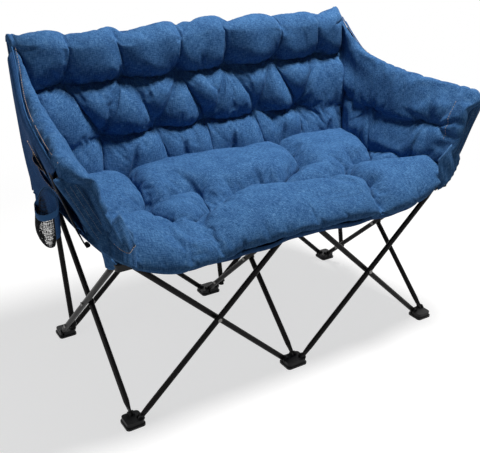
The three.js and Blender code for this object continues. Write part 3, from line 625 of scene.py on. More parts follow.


# How soft pieces are parented to the frame's parts, measured for cutting, and split

ARM_SPLIT = -0.150 + ROW  # where an arm's rear and front are sewn together
CUT_SLACK = 1.005  # a stretched sheet's cut size, of its run
PANEL_CLOTH = 0.0016
FACE_CLOTH = 0.002
POCKET_CLOTH = 0.0014
CUP_CLOTH = 0.0012
LINING = 0.0006
WEBBING = 0.0024


def fold_across(piece):
    """Gives a piece of cloth its own copy of its mesh."""
    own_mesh(piece)


def follow_arm(piece, side, part="rear"):
    """The rear of an arm is parented to its back post and gets its own mesh; the front has its transform
    baked into its mesh.
    """
    if part == "rear":
        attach(piece, f"{side}_back_post")
        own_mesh(piece)
    else:
        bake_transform(piece)


def flat_of(grid):
    """Width and length that a sheet was cut to, from its grid of points."""
    across = np.linalg.norm(np.diff(grid, axis=1), axis=2).sum(axis=1).max()
    along = np.linalg.norm(np.diff(grid, axis=0), axis=2).sum(axis=0).max()
    return round(float(across) * CUT_SLACK, 4), round(float(along) * CUT_SLACK, 4)


def split_pad(piece, depth, rear_name, front_name):
    """Two closed pads from one, sewn together on the plane at this depth."""
    halves = []
    piece.name = f"{rear_name}_whole"
    piece.data.name = piece.name
    for name, keep_front in ((rear_name, False), (front_name, True)):
        shape = bmesh.new()
        shape.from_mesh(piece.data)
        geometry = list(shape.verts) + list(shape.edges) + list(shape.faces)
        cut = bmesh.ops.bisect_plane(shape, geom=geometry, plane_co=(0, depth, 0), plane_no=(0, 1, 0),
                                     clear_outer=keep_front, clear_inner=not keep_front)
        edges = [e for e in cut["geom_cut"] if isinstance(e, bmesh.types.BMEdge)]
        for edge in edges:
            edge.smooth = False
        bmesh.ops.triangle_fill(shape, edges=edges, use_beauty=True)
        data = bpy.data.meshes.new(name)
        shape.to_mesh(data)
        shape.free()
        data.materials.append(piece.data.materials[0])
        made = bpy.data.objects.new(name, data)
        bpy.context.scene.collection.objects.link(made)
        halves.append(made)
    bpy.data.objects.remove(piece)
    return halves


# Back cushion

POST_SLOPE = 0.197  # how far the back posts lean back for each metre of height
POST_FOOT = 0.159  # the back posts' line, carried down to the floor
BACK_SET = 0.011  # the cushion's back, ahead of that line
BACK_HALF = 0.566
BACK_LOW = 0.462
POST_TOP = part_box("middle_back_post_cap")[1].z
CREST = 0.034
BACK_HIGH = POST_TOP + 0.009 - CREST
CREST_TURN = math.radians(165)
CREST_REAR = -0.027
BACK_COLUMNS, BACK_ROWS, CREST_ROWS = 207, 76, 14
ROW_1 = 0.770
ROW_2 = 0.615
TUFT_STEP = 0.175
TUFTS_1 = [TUFT_STEP * (k + 0.5) for k in range(-3, 3)]
TUFTS_2 = [TUFT_STEP * k for k in range(-2, 3)]
ROW_2_HALF = 0.40
GROOVE = (0.490, 0.548)  # from here to there the cushion falls off towards the arm
BACK_PUFF = 0.064
BACK_FLOOR = 0.007
BACK_EDGE = 0.010
SAG = 0.014
LEANS = (0.16, -0.10, 0.12, -0.14, 0.20, -0.08, 0.10)  # how the upright folds lean, tuft by tuft


def post_line(z):
    """Y of the middle of the back posts at height z."""
    return POST_FOOT + POST_SLOPE * z + ROW


def swell(run, reach):
    """A round shoulder: 0 at a sewn line, 1 from reach onwards."""
    t = 1 - np.clip(run / reach, 0, 1)
    return np.sqrt(1 - t * t)


def union(*shares):
    """How far cloth is drawn in where several dips meet."""
    left = 1.0
    for share in shares:
        left = left * (1 - np.clip(share, 0, 0.97))
    return 1 - left


def rays(dx, dz, count, turn, inner=0.014, reach=0.075):
    """Thin creases that run out from a tuft."""
    run = np.hypot(dx, dz)
    angle = np.arctan2(dz, dx)
    angle = angle + 0.25 * np.sin(2 * angle + turn) + 2.0 * run * math.sin(turn * 3)
    wave = np.abs(np.sin(angle * count / 2 + turn))
    return (1 - wave) ** 2.2 * smooth(reach, inner * 1.6, run) * smooth(0.0, inner, run)


def drawn(x, z):
    """0 on a puff's crown, towards 1 in a tuft. Each share is a strength times where it acts."""
    # The two sewn rows and their tufts, each a wide hollow with a narrow one in it
    shares = []
    inside = smooth(ROW_2_HALF, ROW_2_HALF - 0.06, np.abs(x))
    for row, tufts, deep in ((ROW_1, TUFTS_1, 0.50), (ROW_2, TUFTS_2, 0.42 * inside)):
        shares.append(deep * dip(z - row, 0.028))
        shares.append(0.7 * deep * dip(z - row, 0.010))
        for t in tufts:
            shares.append(0.78 * dip(np.hypot(x - t, 0.9 * (z - row)), 0.040))
            shares.append(0.5 * dip(np.hypot(x - t, z - row), 0.014))
    # From each upper tuft: a fold up to the top edge, and one down to each lower tuft beside it
    for k, t in enumerate(TUFTS_1):
        up = np.clip(z - ROW_1, 0, None)
        fold = x - t - LEANS[k] * up
        fade = smooth(-0.002, 0.01, z - ROW_1) * (0.22 + 0.78 * smooth(0.11, 0.015, up))
        shares.append(0.42 * dip(fold, 0.018 + 0.12 * up) * fade)
        shares.append(0.30 * dip(fold, 0.006) * fade)
        for way in (-1, 1):
            other = t + way * TUFT_STEP / 2
            if abs(other) > ROW_2_HALF:
                continue
            bend = (t + other) / 2 + way * (0.014 if k % 2 else -0.008)
            run = line_distance(x, z, [(t, ROW_1), (bend, 0.70 - 0.008 * way), (other, ROW_2)])
            strong = (k + way) % 2
            shares.append((0.46 if strong else 0.24) * dip(run, 0.024))
            shares.append((0.34 if strong else 0.12) * dip(run, 0.008))
        shares.append(0.34 * rays(x - t, z - ROW_1, 9, 0.9 * k + 0.3))
    # From each lower tuft: a fold down to the seat, and a shallow one halfway to the next
    for k, t in enumerate(TUFTS_2):
        down = np.clip(ROW_2 - z, 0, None)
        fold = x - t + LEANS[k] * down
        fade = smooth(-0.002, 0.01, ROW_2 - z) * (0.35 + 0.65 * smooth(0.14, 0.02, down))
        outer = 1.35 if abs(t) > 0.3 else 1.0
        shares.append(0.44 * outer * dip(fold, 0.018 + 0.06 * down) * fade)
        shares.append(0.30 * outer * dip(fold, 0.007) * fade)
        half = t + TUFT_STEP / 2 + 0.012 * math.sin(5 * k)
        shares.append(0.16 * dip(x - half + 0.2 * down, 0.010) * smooth(0.03, 0.07, down))
        shares.append(0.34 * rays(x - t, z - ROW_2, 8, 1.3 * k + 0.7))
    return union(*shares)


def back_depth(x, z):
    """How far the quilted front stands out from the cushion's back."""
    side = np.sqrt(np.clip(1 - smooth(BACK_HALF - 0.030, BACK_HALF, np.abs(x)) ** 2, 0, 1))
    side = side * (0.40 + 0.60 * np.sqrt(1 - smooth(*GROOVE, np.abs(x)) ** 2))
    ends = swell(z - BACK_LOW, 0.05)
    uneven = 1 + 0.07 * np.sin(23 * x + 1.3) * np.cos(17 * z + 0.7) + 0.04 * np.sin(51 * x + 29 * z)
    return BACK_FLOOR + (BACK_PUFF * uneven - BACK_FLOOR) * (1 - drawn(x, z)) * side * ends


def back_creases():
    """The sewn lines and folds that the puffs close over, with how strongly they do."""
    lines = [([(-BACK_HALF, ROW_1), (BACK_HALF, ROW_1)], 1.0),
             ([(-ROW_2_HALF, ROW_2), (ROW_2_HALF, ROW_2)], 0.8)]
    for k, t in enumerate(TUFTS_1):
        lines.append(([(t, ROW_1), (t + LEANS[k] * 0.05, ROW_1 + 0.05)], 0.7))
        other = t + (1 if k % 2 == 0 else -1) * TUFT_STEP / 2
        if abs(other) < ROW_2_HALF:
            lines.append(([(t, ROW_1), (other, ROW_2)], 0.7))
    for k, t in enumerate(TUFTS_2):
        lines.append(([(t, ROW_2), (t - LEANS[k] * 0.11, ROW_2 - 0.11)], 1.0 if abs(t) > 0.3 else 0.7))
    return lines


def make_back():
    """The quilted back cushion, which turns over the posts' ends."""
    across = np.linspace(-BACK_HALF, BACK_HALF, BACK_COLUMNS)
    up = np.linspace(BACK_LOW, BACK_HIGH, BACK_ROWS)
    over = np.linspace(0, CREST_TURN, CREST_ROWS)[1:]
    crest = BACK_HIGH + CREST * np.sin(np.minimum(over, math.pi / 2))
    x, z = np.meshgrid(across, np.concatenate([up, crest]))
    flat_z = np.minimum(z, BACK_HIGH)
    depth = back_depth(x, flat_z)
    # Over the top the cover runs back round the posts' ends
    turn = np.concatenate([np.zeros(len(up)), over])[:, None]
    full = depth[len(up) - 1][None, :]
    depth = np.where(turn > 0, CREST_REAR + (full - CREST_REAR) * (0.5 + 0.5 * np.cos(turn)), depth)
    scallop = sum(dip(x - t - 0.02, 0.026) for t in TUFTS_1)
    wavy = 0.004 * np.sin(9 * x + 1) + 0.003 * np.sin(37 * x)
    top = smooth(BACK_HIGH - 0.07, BACK_HIGH + 0.02, flat_z + CREST * np.sin(turn))
    z_now = flat_z + CREST * np.sin(turn) - top * (0.005 * scallop - wavy)
    # Stuffing sags: each puff hangs a little over the crease below it
    full_share = np.clip((depth - BACK_FLOOR) / BACK_PUFF, 0, 1)
    sag = SAG * full_share * (turn == 0) * smooth(BACK_LOW, BACK_LOW + 0.04, flat_z)
    sag = sag * smooth(BACK_HIGH, BACK_HIGH - 0.07, flat_z)
    near_x, near_z = pinched(x, flat_z, back_creases())
    fade = smooth(BACK_HALF, BACK_HALF - 0.05, np.abs(x)) * (turn == 0)
    sag = sag - (near_z - flat_z) * fade * smooth(BACK_HIGH, BACK_HIGH - 0.03, flat_z)
    x_now = x + (0.004 * np.sin(29 * z + 11 * x) + near_x - x) * fade
    rest = post_line(z_now) - BACK_SET
    rim = rim_of(depth.shape)
    thin = rim.copy()
    thin[-1] = False
    depth[thin] = np.minimum(depth[thin], BACK_EDGE)
    front = np.stack([x_now, rest - depth, z_now - sag], axis=2)
    back = np.stack([x_now, rest + 0.012 * (turn > 0), np.minimum(z_now, BACK_HIGH + 0.010)], axis=2)
    pad = closed_pad("back_pad", front, back, PADDING)
    held = 0.75 * dip(z - ROW_1, 0.006) + 0.5 * dip(z - ROW_2, 0.006)
    for row, tufts in ((ROW_1, TUFTS_1), (ROW_2, TUFTS_2)):
        for t in tufts:
            held = held + dip(np.hypot(x - t, z - row), 0.011)
    held[rim] = 1
    inflate(pad, held, slack=0.10, cap=0.016)
    refine(pad)
    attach(pad, "middle_back_post")
    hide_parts("back_cushion")
    fold_across(pad)


# Seat cushion and the cloth under it

SEAT_HALF = 0.552
BASE_HALF = 0.515
SEAT_COLUMNS, SEAT_ROWS = 201, 118
SEAT_PUFF = 0.066
SEAT_FLOOR = 0.42
CORNER_LIFT = 0.030
PULLED_FROM = 0.36  # how far out the outer hubs begin to draw the cushion up
# Depth and height round each, from the back's foot to the front
SEAT_TOP = ((0.244, 0.452), (0.238, 0.500), (0.190, 0.522), (0.060, 0.522), (-0.050, 0.510),
            (-0.145, 0.518), (-0.205, 0.511), (-0.254, 0.492), (-0.286, 0.468), (-0.301, 0.446),
            (-0.292, 0.430), (-0.262, 0.425))
SEAT_UNDER = ((0.244, 0.452), (0.180, 0.440), (-0.050, 0.436), (-0.255, 0.428))
BASE_RUN = ((0.235, 0.446), (0.120, 0.434), (-0.050, 0.428), (-0.200, 0.424), (-0.262, 0.422),
            (-0.288, 0.432), (-0.293, 0.446))
SEAT_FOLDS = (
    # (points of the fold in X and Y, its depth, its width)
    (((-0.335, -0.014), (-0.317, 0.067), (-0.301, 0.175), (-0.304, 0.225)), 0.013, 0.016),
    (((-0.353, -0.074), (-0.333, -0.158)), 0.010, 0.014),
    (((-0.244, -0.002), (-0.215, 0.008), (-0.187, 0.010), (-0.161, -0.005), (-0.192, -0.111)), 0.016, 0.017),
    (((-0.335, -0.014), (-0.270, -0.010), (-0.244, -0.002)), 0.010, 0.014),
    (((-0.270, -0.177), (-0.222, -0.135), (-0.192, -0.111)), 0.012, 0.015),
    (((-0.192, -0.111), (-0.120, -0.075), (-0.071, -0.047), (0.001, -0.041), (0.034, -0.061)), 0.018, 0.017),
    (((0.034, -0.061), (0.074, -0.085), (0.180, -0.098), (0.267, -0.104)), 0.015, 0.018),
    (((0.074, -0.085), (0.085, -0.05), (0.133, -0.017), (0.200, 0.026), (0.232, 0.120), (0.226, 0.220)),
     0.014, 0.016),
    (((0.267, -0.104), (0.330, -0.048), (0.391, -0.051), (0.460, -0.02), (0.526, 0.104)), 0.013, 0.017),
    (((0.267, -0.104), (0.290, -0.207), (0.262, -0.260)), 0.011, 0.016),
    (((0.237, -0.146), (0.290, -0.207)), 0.008, 0.014),
    (((0.391, -0.051), (0.470, -0.110), (0.540, -0.150)), 0.009, 0.016),
    (((-0.335, -0.014), (-0.42, -0.05), (-0.53, -0.04)), 0.009, 0.018),
)
SEAT_TUFTS = ((-0.335, -0.014), (-0.192, -0.111), (0.034, -0.061), (0.267, -0.104), (0.391, -0.051))


def swept(profile, across):
    """X, Y and Z of a line in Y and Z that is carried across the seat."""
    x, y = np.meshgrid(across, profile[:, 0])
    return x, y, np.meshgrid(across, profile[:, 1])[1]


def hub_pull(x, y, near, far):
    """1 at the front corners, where the outer hubs draw the cloth up: near and far are its X."""
    return smooth(near, far, np.abs(x)) * smooth(0.05, -0.28, y)


def make_seat():
    """The tufted seat cushion, with a front roll over the hubs."""
    across = np.linspace(-SEAT_HALF, SEAT_HALF, SEAT_COLUMNS)
    profile = spline(SEAT_TOP, SEAT_ROWS)
    x, y, z = swept(profile, across)
    creases = [(line, min(1.0, depth / 0.013)) for line, depth, width in SEAT_FOLDS]
    closed_x, closed_y = pinched(x, y, creases, width=0.015, amount=0.009)
    outward = np.gradient(profile, axis=0)
    outward = np.stack([outward[:, 1], -outward[:, 0]], axis=1)
    outward /= np.linalg.norm(outward, axis=1)[:, None]
    # The wadding is drawn in along the folds and at the tufts
    shares = []
    for line, depth, width in SEAT_FOLDS:
        run = line_distance(x, y, line)
        shares.append(depth / 0.026 * dip(run, 1.8 * width))
        shares.append(depth / 0.030 * dip(run, 0.5 * width))
    for k, (tx, ty) in enumerate(SEAT_TUFTS):
        shares.append(0.70 * dip(np.hypot(x - tx, y - ty), 0.036))
        shares.append(0.30 * rays(x - tx, y - ty, 7, 1.1 * k + 0.4, reach=0.085))
    lift = -SEAT_PUFF * union(*shares)
    lift = lift + 0.003 * np.sin(19 * x + 0.4) * np.cos(15 * y) * smooth(-0.29, -0.2, y)
    rows = np.linspace(0, 1, SEAT_ROWS)[:, None]
    inside = smooth(0, 0.03, rows) * smooth(1, 0.97, rows)
    inner = smooth(SEAT_HALF, SEAT_HALF - 0.06, np.abs(x)) * smooth(-0.27, -0.22, y) * smooth(0.235, 0.20, y)
    x_now = x + (closed_x - x) * inner
    y_now = y + (closed_y - y) * inner + lift * outward[:, :1] * inside
    z_now = z + lift * outward[:, 1:] * inside
    # The sides are thinner than the rest
    ends = smooth(SEAT_HALF, SEAT_HALF - 0.05, np.abs(x))
    middle = 0.5 * (z.max() + SEAT_FLOOR)
    z_now = np.where(z_now > middle, middle + (z_now - middle) * (0.4 + 0.6 * ends), z_now)
    # The front edge hangs between the hubs and is drawn up to the outer ones
    raised = hub_pull(x, y, PULLED_FROM, SEAT_HALF)
    z_now = z_now + CORNER_LIFT * raised
    y_now = y_now + CORNER_LIFT * raised * smooth(-0.1, -0.3, y)
    top = np.stack([x_now, y_now + ROW, z_now], axis=2)
    _, low_y, low_z = swept(spline(SEAT_UNDER, SEAT_ROWS), across)
    raised = hub_pull(x, low_y, PULLED_FROM, SEAT_HALF)
    low_z = low_z + 0.045 * smooth(0.42, SEAT_HALF - 0.02, np.abs(x)) * smooth(-0.27, -0.18, low_y)
    bottom = np.stack([x, low_y + ROW + CORNER_LIFT * raised * smooth(-0.1, -0.3, low_y),
                       low_z + CORNER_LIFT * raised], axis=2)
    edge = rim_of(x.shape)
    top[edge] = 0.5 * (top[edge] + bottom[edge])
    pad = closed_pad("seat_pad", top, bottom, PADDING, flip=True)
    held = np.zeros(x.shape)
    for line, depth, width in SEAT_FOLDS:
        held += 0.6 * dip(line_distance(x, y, line), 0.006)
    for tx, ty in SEAT_TUFTS:
        held += dip(np.hypot(x - tx, y - ty), 0.012)
    held[edge] = 1
    inflate(pad, held, slack=0.08, cap=0.014)
    refine(pad)
    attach(pad, "rear_middle_hub")
    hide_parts("seat_cushion")
    fold_across(pad)


def make_seat_base():
    """Cloth stretched under the cushion, which shows below its front edge."""
    x, y, z = swept(spline(BASE_RUN, 60), np.linspace(-BASE_HALF, BASE_HALF, 90))
    raised = hub_pull(x, y, 0.34, BASE_HALF)
    from_hub = np.minimum(np.abs(x), np.abs(np.abs(x) - HUB_X))
    z = z + 0.026 * raised - 0.010 * smooth(0.03, 0.16, from_hub) * smooth(0.2, 0.1, y)
    y = y + 0.028 * raised * smooth(-0.1, -0.3, y) + 0.0015 * np.sin(60 * x) * smooth(-0.2, -0.28, y)
    z = z + 0.0015 * np.sin(47 * x + 9 * y)
    grid = np.stack([x, y + ROW, z], axis=2)
    base = sheet_object("seat_base", grid, PANEL, PANEL_CLOTH)
    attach(base, "rear_middle_hub")
    round(grid_area(grid) * CUT_SLACK, 4)
    fold_across(base)


# Arms

ARM_TOP = ((0.560, 0.300, 0.868), (0.566, 0.250, 0.818), (0.578, 0.187, 0.764), (0.592, 0.100, 0.730),
           (0.608, -0.032, 0.710), (0.622, -0.145, 0.702), (0.635, -0.240, 0.703))
ARM_LOW = ((0.545, 0.250, 0.482), (0.530, 0.080, 0.492), (0.530, -0.100, 0.500), (0.545, -0.190, 0.504),
           (0.562, -0.240, 0.518))
ARM_TUFTS = ((0.066, 0.572), (-0.166, 0.630))
STATIONS = 74
ARM_STEP = 0.0078  # depth from one station to the next, about
AROUND = 60
FACE_POINTS = slice(12, 44)  # round the arm, those that look at the sitter
ARM_CAP = 8
ARM_SEAM = 0.035  # the arm's seam with the back, ahead of the posts' line


class ArmSurface:
    """The leaning plane of an arm's frame, from the back's corner to its front post."""

    def __init__(self):
        self.top = spline(ARM_TOP, STATIONS)
        self.low = spline(ARM_LOW, STATIONS)
        ahead = np.gradient(self.top, axis=0) + np.gradient(self.low, axis=0)
        self.inward = np.cross(self.top - self.low, ahead)
        self.inward /= np.linalg.norm(self.inward, axis=1)[:, None]
        self.inward *= -np.sign(self.inward[:, :1])

    def at(self, side, y, z, out):
        """A point at depth y and height z, standing out from the plane by out."""
        k = np.interp(-y, -self.top[:, 1], np.arange(STATIONS))
        for _ in range(3):
            top, low, inward = self.station(k)
            share = (z - low[2]) / (top[2] - low[2])
            now = low + share * (top - low)
            k = float(np.clip(k + (now[1] - y) / ARM_STEP, 0, STATIONS - 1))
        top, low, inward = self.station(k)
        share = (z - low[2]) / (top[2] - low[2])
        point = low + share * (top - low) - out * inward
        return np.array([SIDES[side] * point[0], point[1] + ROW, point[2]])

    def station(self, k):
        a = int(min(max(math.floor(k), 0), STATIONS - 2))
        t = k - a
        return tuple(m[a] * (1 - t) + m[a + 1] * t for m in (self.top, self.low, self.inward))


ARM = ArmSurface()


def arm_section(share, length):
    """Places round the padded arm: (share of the height, stand-off from the post line)."""
    front = smooth(0.70, 1.0, share)
    middle = smooth(0.08, 0.25, share) * smooth(1.02, 0.9, share)
    over = 1 / length
    roll = 0.45 + 0.55 * smooth(0.0, 0.45, share) - 0.22 * front
    low = 1 - 0.04 * front
    return [
        (1 - 0.012 * over, -0.010),
        (1 + 0.006 * over, -0.005),
        (1 + 0.021 * over, 0.004),
        (1 + 0.031 * over, 0.018 * roll + 0.004),
        (1 + 0.022 * over, 0.040 * roll + 0.004),
        (1 - 0.006 * over, 0.056 * roll + 0.003),
        (0.82, 0.062 * (roll + 0.16 * front)),
        (0.62, 0.061 * low),
        (0.44, 0.061 * low),
        (0.28, 0.058 * low),
        (0.08, 0.054 * low),
        (-0.08, 0.024 + 0.010 * middle),
        (0.06, -0.004 + 0.026 * middle),
        (0.32, -0.008 + 0.010 * middle),
        (0.66, -0.010),
    ]


def arm_rings():
    """Rings of points round the right arm, from the back's corner to its front post."""
    rings = []
    for k in range(STATIONS):
        up = ARM.top[k] - ARM.low[k]
        ring = []
        for s, off in arm_section(k / (STATIONS - 1), np.linalg.norm(up)):
            point = ARM.low[k] + s * up
            # The padding thins where it meets the back
            seam_y = POST_FOOT + POST_SLOPE * point[2] - ARM_SEAM
            thin = 0.28 + 0.72 * math.sqrt(smooth(seam_y + 0.002, seam_y - 0.055, point[1]))
            ring.append(point + off * (thin if off > 0.012 else 1) * ARM.inward[k])
        rings.append(spline(np.vstack([ring, ring[:1]]), AROUND + 1)[:-1])
    return np.array(rings)


def arm_hollows(y, z, facing):
    """How far the arm's cloth is drawn in at its tufts, creases and gathers."""
    inwards = np.zeros(y.shape)
    for ty, tz in ARM_TUFTS:
        inwards += 0.044 * dip(np.hypot(y - ty, z - tz), 0.036)
        inwards += 0.026 * rays(y - ty, z - tz, 8, 2.0 + 9 * ty, reach=0.12)
        # A fold down from the tuft, and a short one up from it
        inwards += 0.020 * dip(y - ty - 0.15 * (tz - z), 0.015) * smooth(tz + 0.01, tz - 0.03, z)
        above = smooth(tz, tz + 0.02, z) * smooth(tz + 0.10, tz + 0.04, z)
        inwards += 0.010 * dip(y - ty - 0.2 * (z - tz), 0.014) * above
    # The long crease, one near the back's corner, and one from tuft to tuft
    inwards += 0.016 * dip(z - 0.606 - 0.03 * (y > 0.15), 0.022) * smooth(-0.24, -0.12, y)
    inwards += 0.008 * dip(y - 0.205 - 0.3 * (z - 0.6), 0.018) * smooth(0.76, 0.62, z)
    joining = [ARM_TUFTS[1], (-0.05, 0.602), ARM_TUFTS[0]]
    inwards += 0.008 * dip(line_distance(y, z, joining), 0.016)
    inwards = inwards * facing
    # Puckers where the cloth is gathered into the outer seam
    along = np.concatenate([[0], np.cumsum(np.linalg.norm(np.diff(ARM.top, axis=0), axis=1))])[:, None]
    gather = np.abs(np.sin(along * 150 + 1.7 * np.sin(along * 31) + 0.22 * np.arange(AROUND)[None, :]))
    near_seam = np.zeros(AROUND)
    near_seam[4:20] = np.linspace(1, 0, 16) ** 0.8
    return inwards + 0.0034 * (1 - gather) ** 1.5 * near_seam[None, :] * (0.6 + 0.4 * np.sin(along * 23))


def arm_front(last):
    """Rings that close the arm's front end over its post, ahead of the last ring."""
    foot, up = ARM.low[-1], ARM.top[-1] - ARM.low[-1]
    ends = []
    for k in range(1, ARM_CAP + 1):
        angle = k / ARM_CAP * math.pi / 2
        squeeze = 0.10 + 0.90 * math.cos(angle) ** 0.62
        shrunk = last.mean(axis=0) + (last - last.mean(axis=0)) * squeeze
        height = (shrunk - foot) @ up / (up @ up)
        depth_in = (shrunk - foot) @ ARM.inward[-1]
        ahead = 0.012 + 0.024 * smooth(0.80, 0.98, height) + 0.018 * smooth(0.012, 0.040, depth_in)
        forward = np.zeros((AROUND, 3))
        forward[:, 1] = -ahead * math.sin(angle) ** 0.8
        forward -= (0.012 * math.sin(angle) * smooth(0.78, 0.95, height))[:, None] * ARM.inward[-1]
        ends.append(shrunk + forward)
    return np.array(ends)


def make_arm(side):
    """The padded arm in two parts. Returns the front one."""
    way = SIDES[side]
    loops = arm_rings()
    y = loops[:, :, 1]
    z = loops[:, :, 2]
    facing = np.zeros(AROUND)
    facing[FACE_POINTS] = 1
    middle = loops.mean(axis=1)[:, None]
    outwards = loops - middle
    outwards /= np.linalg.norm(outwards, axis=2)[:, :, None]
    loops = loops - arm_hollows(y, z, facing[None, :])[:, :, None] * outwards
    loops = np.concatenate([loops, arm_front(loops[-1])])
    loops[:, :, 0] *= way
    loops[:, :, 1] += ROW
    rows = len(loops)
    girth = np.linalg.norm(np.diff(loops, axis=1), axis=2).mean(axis=0)
    u = np.concatenate([[0], np.cumsum(girth)])
    v = np.concatenate([[0], np.cumsum(np.linalg.norm(np.diff(middle[:, 0], axis=0), axis=1))])
    v = np.concatenate([v, v[-1] + 0.008 * np.arange(1, ARM_CAP + 1)])
    uv = np.stack(np.meshgrid(u, v), axis=2).reshape(-1, 2)
    faces = tube_faces(rows, AROUND, flip=way > 0)
    pad = mesh_object(f"{side}_arm_pad", loops.reshape(-1, 3), faces, PADDING, uv)
    held = np.zeros((rows, AROUND))
    held[:, 46:] = 1
    held[:, :3] = 1
    held[[0, -1]] = 1
    for ty, tz in ARM_TUFTS:
        held[:STATIONS] += dip(np.hypot(y - ty, z - tz), 0.015) * facing[None, :]
        held[:STATIONS] += 0.5 * dip(y - ty - 0.15 * (tz - z), 0.006) * (z < tz) * facing[None, :]
    inflate(pad, held, slack=0.07, cap=0.012)
    refine(pad)
    halves = split_pad(pad, ARM_SPLIT, f"{side}_arm_pad", f"{side}_arm_pad_front")
    for part, half in zip(("rear", "front"), halves):
        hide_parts(f"{side}_arm_cushion")
        follow_arm(half, side, part)
    return halves[1]


# Outer panels, their pockets, sleeves and seams

PARTS = (("rear", ""), ("front", "_front"))
PANEL_ENDS = (0.286, -0.238)
PANEL_OUT = 0.0165  # stand-off from the arm's plane at the hem
PANEL_BOW = 0.007
PANEL_TURN = 0.020
HEM = 0.0028
PIPING = 0.0022
LIP = 0.052
# How far each stands off the arm's plane
LINING_OUT = 0.0238
LIP_OUT = 0.0245
HEM_OUT = 0.0248
RIM_OUT = 0.0252
POCKETS = (
    # (upper lip, lower lip): depth and height along each
    (((0.004, 0.722), (-0.007, 0.716), (-0.043, 0.712), (-0.084, 0.704), (-0.118, 0.696), (-0.142, 0.688)),
     ((0.004, 0.692), (-0.015, 0.690), (-0.045, 0.694), (-0.084, 0.692), (-0.112, 0.686), (-0.142, 0.682))),
    (((0.030, 0.674), (0.005, 0.664), (-0.022, 0.652), (-0.042, 0.636), (-0.060, 0.624), (-0.082, 0.612)),
     ((0.030, 0.662), (0.000, 0.648), (-0.026, 0.634), (-0.046, 0.620), (-0.062, 0.610), (-0.082, 0.606))),
)
# How far each lies over the arm's top edge, and outside its plane
PIPING_AT = (0.0185, 0.0012)
STITCHES_AT = (0.0265, -0.0075)


def at_split(points):
    """Index of the point where an arm's rear and front are sewn together."""
    return int(np.argmin(np.abs(np.asarray(points)[:, 1] - ARM_SPLIT)))


def panel_low(y):
    """Height of the outer panel's lower edge: it arches up between the hubs."""
    return 0.484 + 0.066 * smooth(0.19, 0.07, y) + 0.012 * smooth(-0.05, -0.22, y)


def make_side_panel(side):
    """Dark cloth outside the arm, which turns in over the shoulder to the roll's seam."""
    upright, turned, columns = 25, 5, 66
    grid = np.zeros((upright + turned, columns, 3))
    for j, y in enumerate(np.linspace(*PANEL_ENDS, columns)):
        high = np.interp(-y, -ARM.top[:, 1], ARM.top[:, 2]) - 0.004
        low = panel_low(y)
        for i in range(upright + turned):
            t = min(i / (upright - 1), 1.0)
            turn = max(0, i - upright + 1) / turned * math.pi / 2
            ripple = 0.0015 * math.sin(26 * y + 5 * t) * math.sin(math.pi * t)
            out = PANEL_OUT + PANEL_BOW * math.sin(math.pi * t * 0.9) + ripple
            out = out * math.cos(turn) - 0.001 * math.sin(turn)
            grid[i, j] = ARM.at(side, y, low + (high - low) * t + PANEL_TURN * math.sin(turn), out)
    seam = at_split(grid[len(grid) // 2])
    for (part, end), share in zip(PARTS, (grid[:, :seam + 1], grid[:, seam:])):
        panel = sheet_object(f"{side}_outer_panel{end}", share, PANEL, PANEL_CLOTH, flip=SIDES[side] < 0)
        hem = tube_object(f"{side}_panel_hem{end}", share[0], HEM, PANEL)
        flat_of(share)
        round(grid_area(share), 5)
        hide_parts(f"{side}_side_panel")
        follow_arm(panel, side, part)
        follow_arm(hem, side, part)


def make_pockets(side):
    """Slanting pocket mouths in the outer panel, each with a lip that stands open and a sewn edge; the
    near-black sheet under each lip is painted shade inside the pocket.
    """
    way = SIDES[side]
    count = 30
    run = np.linspace(0, 1, count)
    gape = 0.009 * np.sin(np.pi * np.clip(run * 1.15, 0, 1)) + 0.001
    waves = 0.0012 * np.sin(31 * run)
    for number, (upper, lower) in enumerate(POCKETS, 1):
        lip, dark, rim, hem = [], [], [], []
        for up, down, lift, wave in zip(spline(upper, count), spline(lower, count), gape, waves):
            lip.append([ARM.at(side, down[0], down[1] + wave - d, LIP_OUT + lift * (1 - d / LIP) ** 1.6)
                        for d in np.linspace(0, LIP, 9)])
            across = [down + t * (up - down) for t in np.linspace(-0.3, 1.0, 6)]
            dark.append([ARM.at(side, *place, LINING_OUT) for place in across])
            rim.append(ARM.at(side, up[0], up[1] + wave, RIM_OUT))
            hem.append(ARM.at(side, down[0], down[1] + wave + 0.0006, HEM_OUT + lift))
        lip, dark = np.array(lip).transpose(1, 0, 2), np.array(dark).transpose(1, 0, 2)
        flap = sheet_object(f"{side}_pocket_lip_{number}", lip, PANEL, POCKET_CLOTH, flip=way > 0)
        follow_arm(flap, side)
        width = float(np.linalg.norm(np.diff(lip[0], axis=0), axis=1).sum())
        # The lining is near-black denim: painted shade inside the open pocket
        follow_arm(sheet_object(f"{side}_pocket_shade_lining_{number}", dark, POCKET_SHADE, LINING, flip=way < 0), side)
        for name, line in (("rim", rim), ("hem", hem)):
            follow_arm(stitch_line(f"{side}_pocket_{name}_{number}", line, POCKET_STITCH), side)


def make_seams(side):
    """Sewn edge over the arm's outer shoulder, from the back's corner to its front."""
    piping, stitches = [], []
    for top, low, inward in zip(ARM.top[1:], ARM.low[1:], ARM.inward[1:]):
        length = np.linalg.norm(top - low)
        for store, (over, out) in ((piping, PIPING_AT), (stitches, STITCHES_AT)):
            point = top + (top - low) / length * over - out * inward
            store.append((SIDES[side] * point[0], point[1] + ROW, point[2]))
    seam = at_split(piping)
    for (part, end), share in zip(PARTS, (slice(0, seam + 1), slice(seam, None))):
        cord = tube_object(f"{side}_arm_piping{end}", piping[share], PIPING, PADDING, sides=7)
        follow_arm(cord, side, part)
        line = stitch_line(f"{side}_arm_stitches{end}", stitches[share], SEAM_STITCH)
        follow_arm(line, side, part)


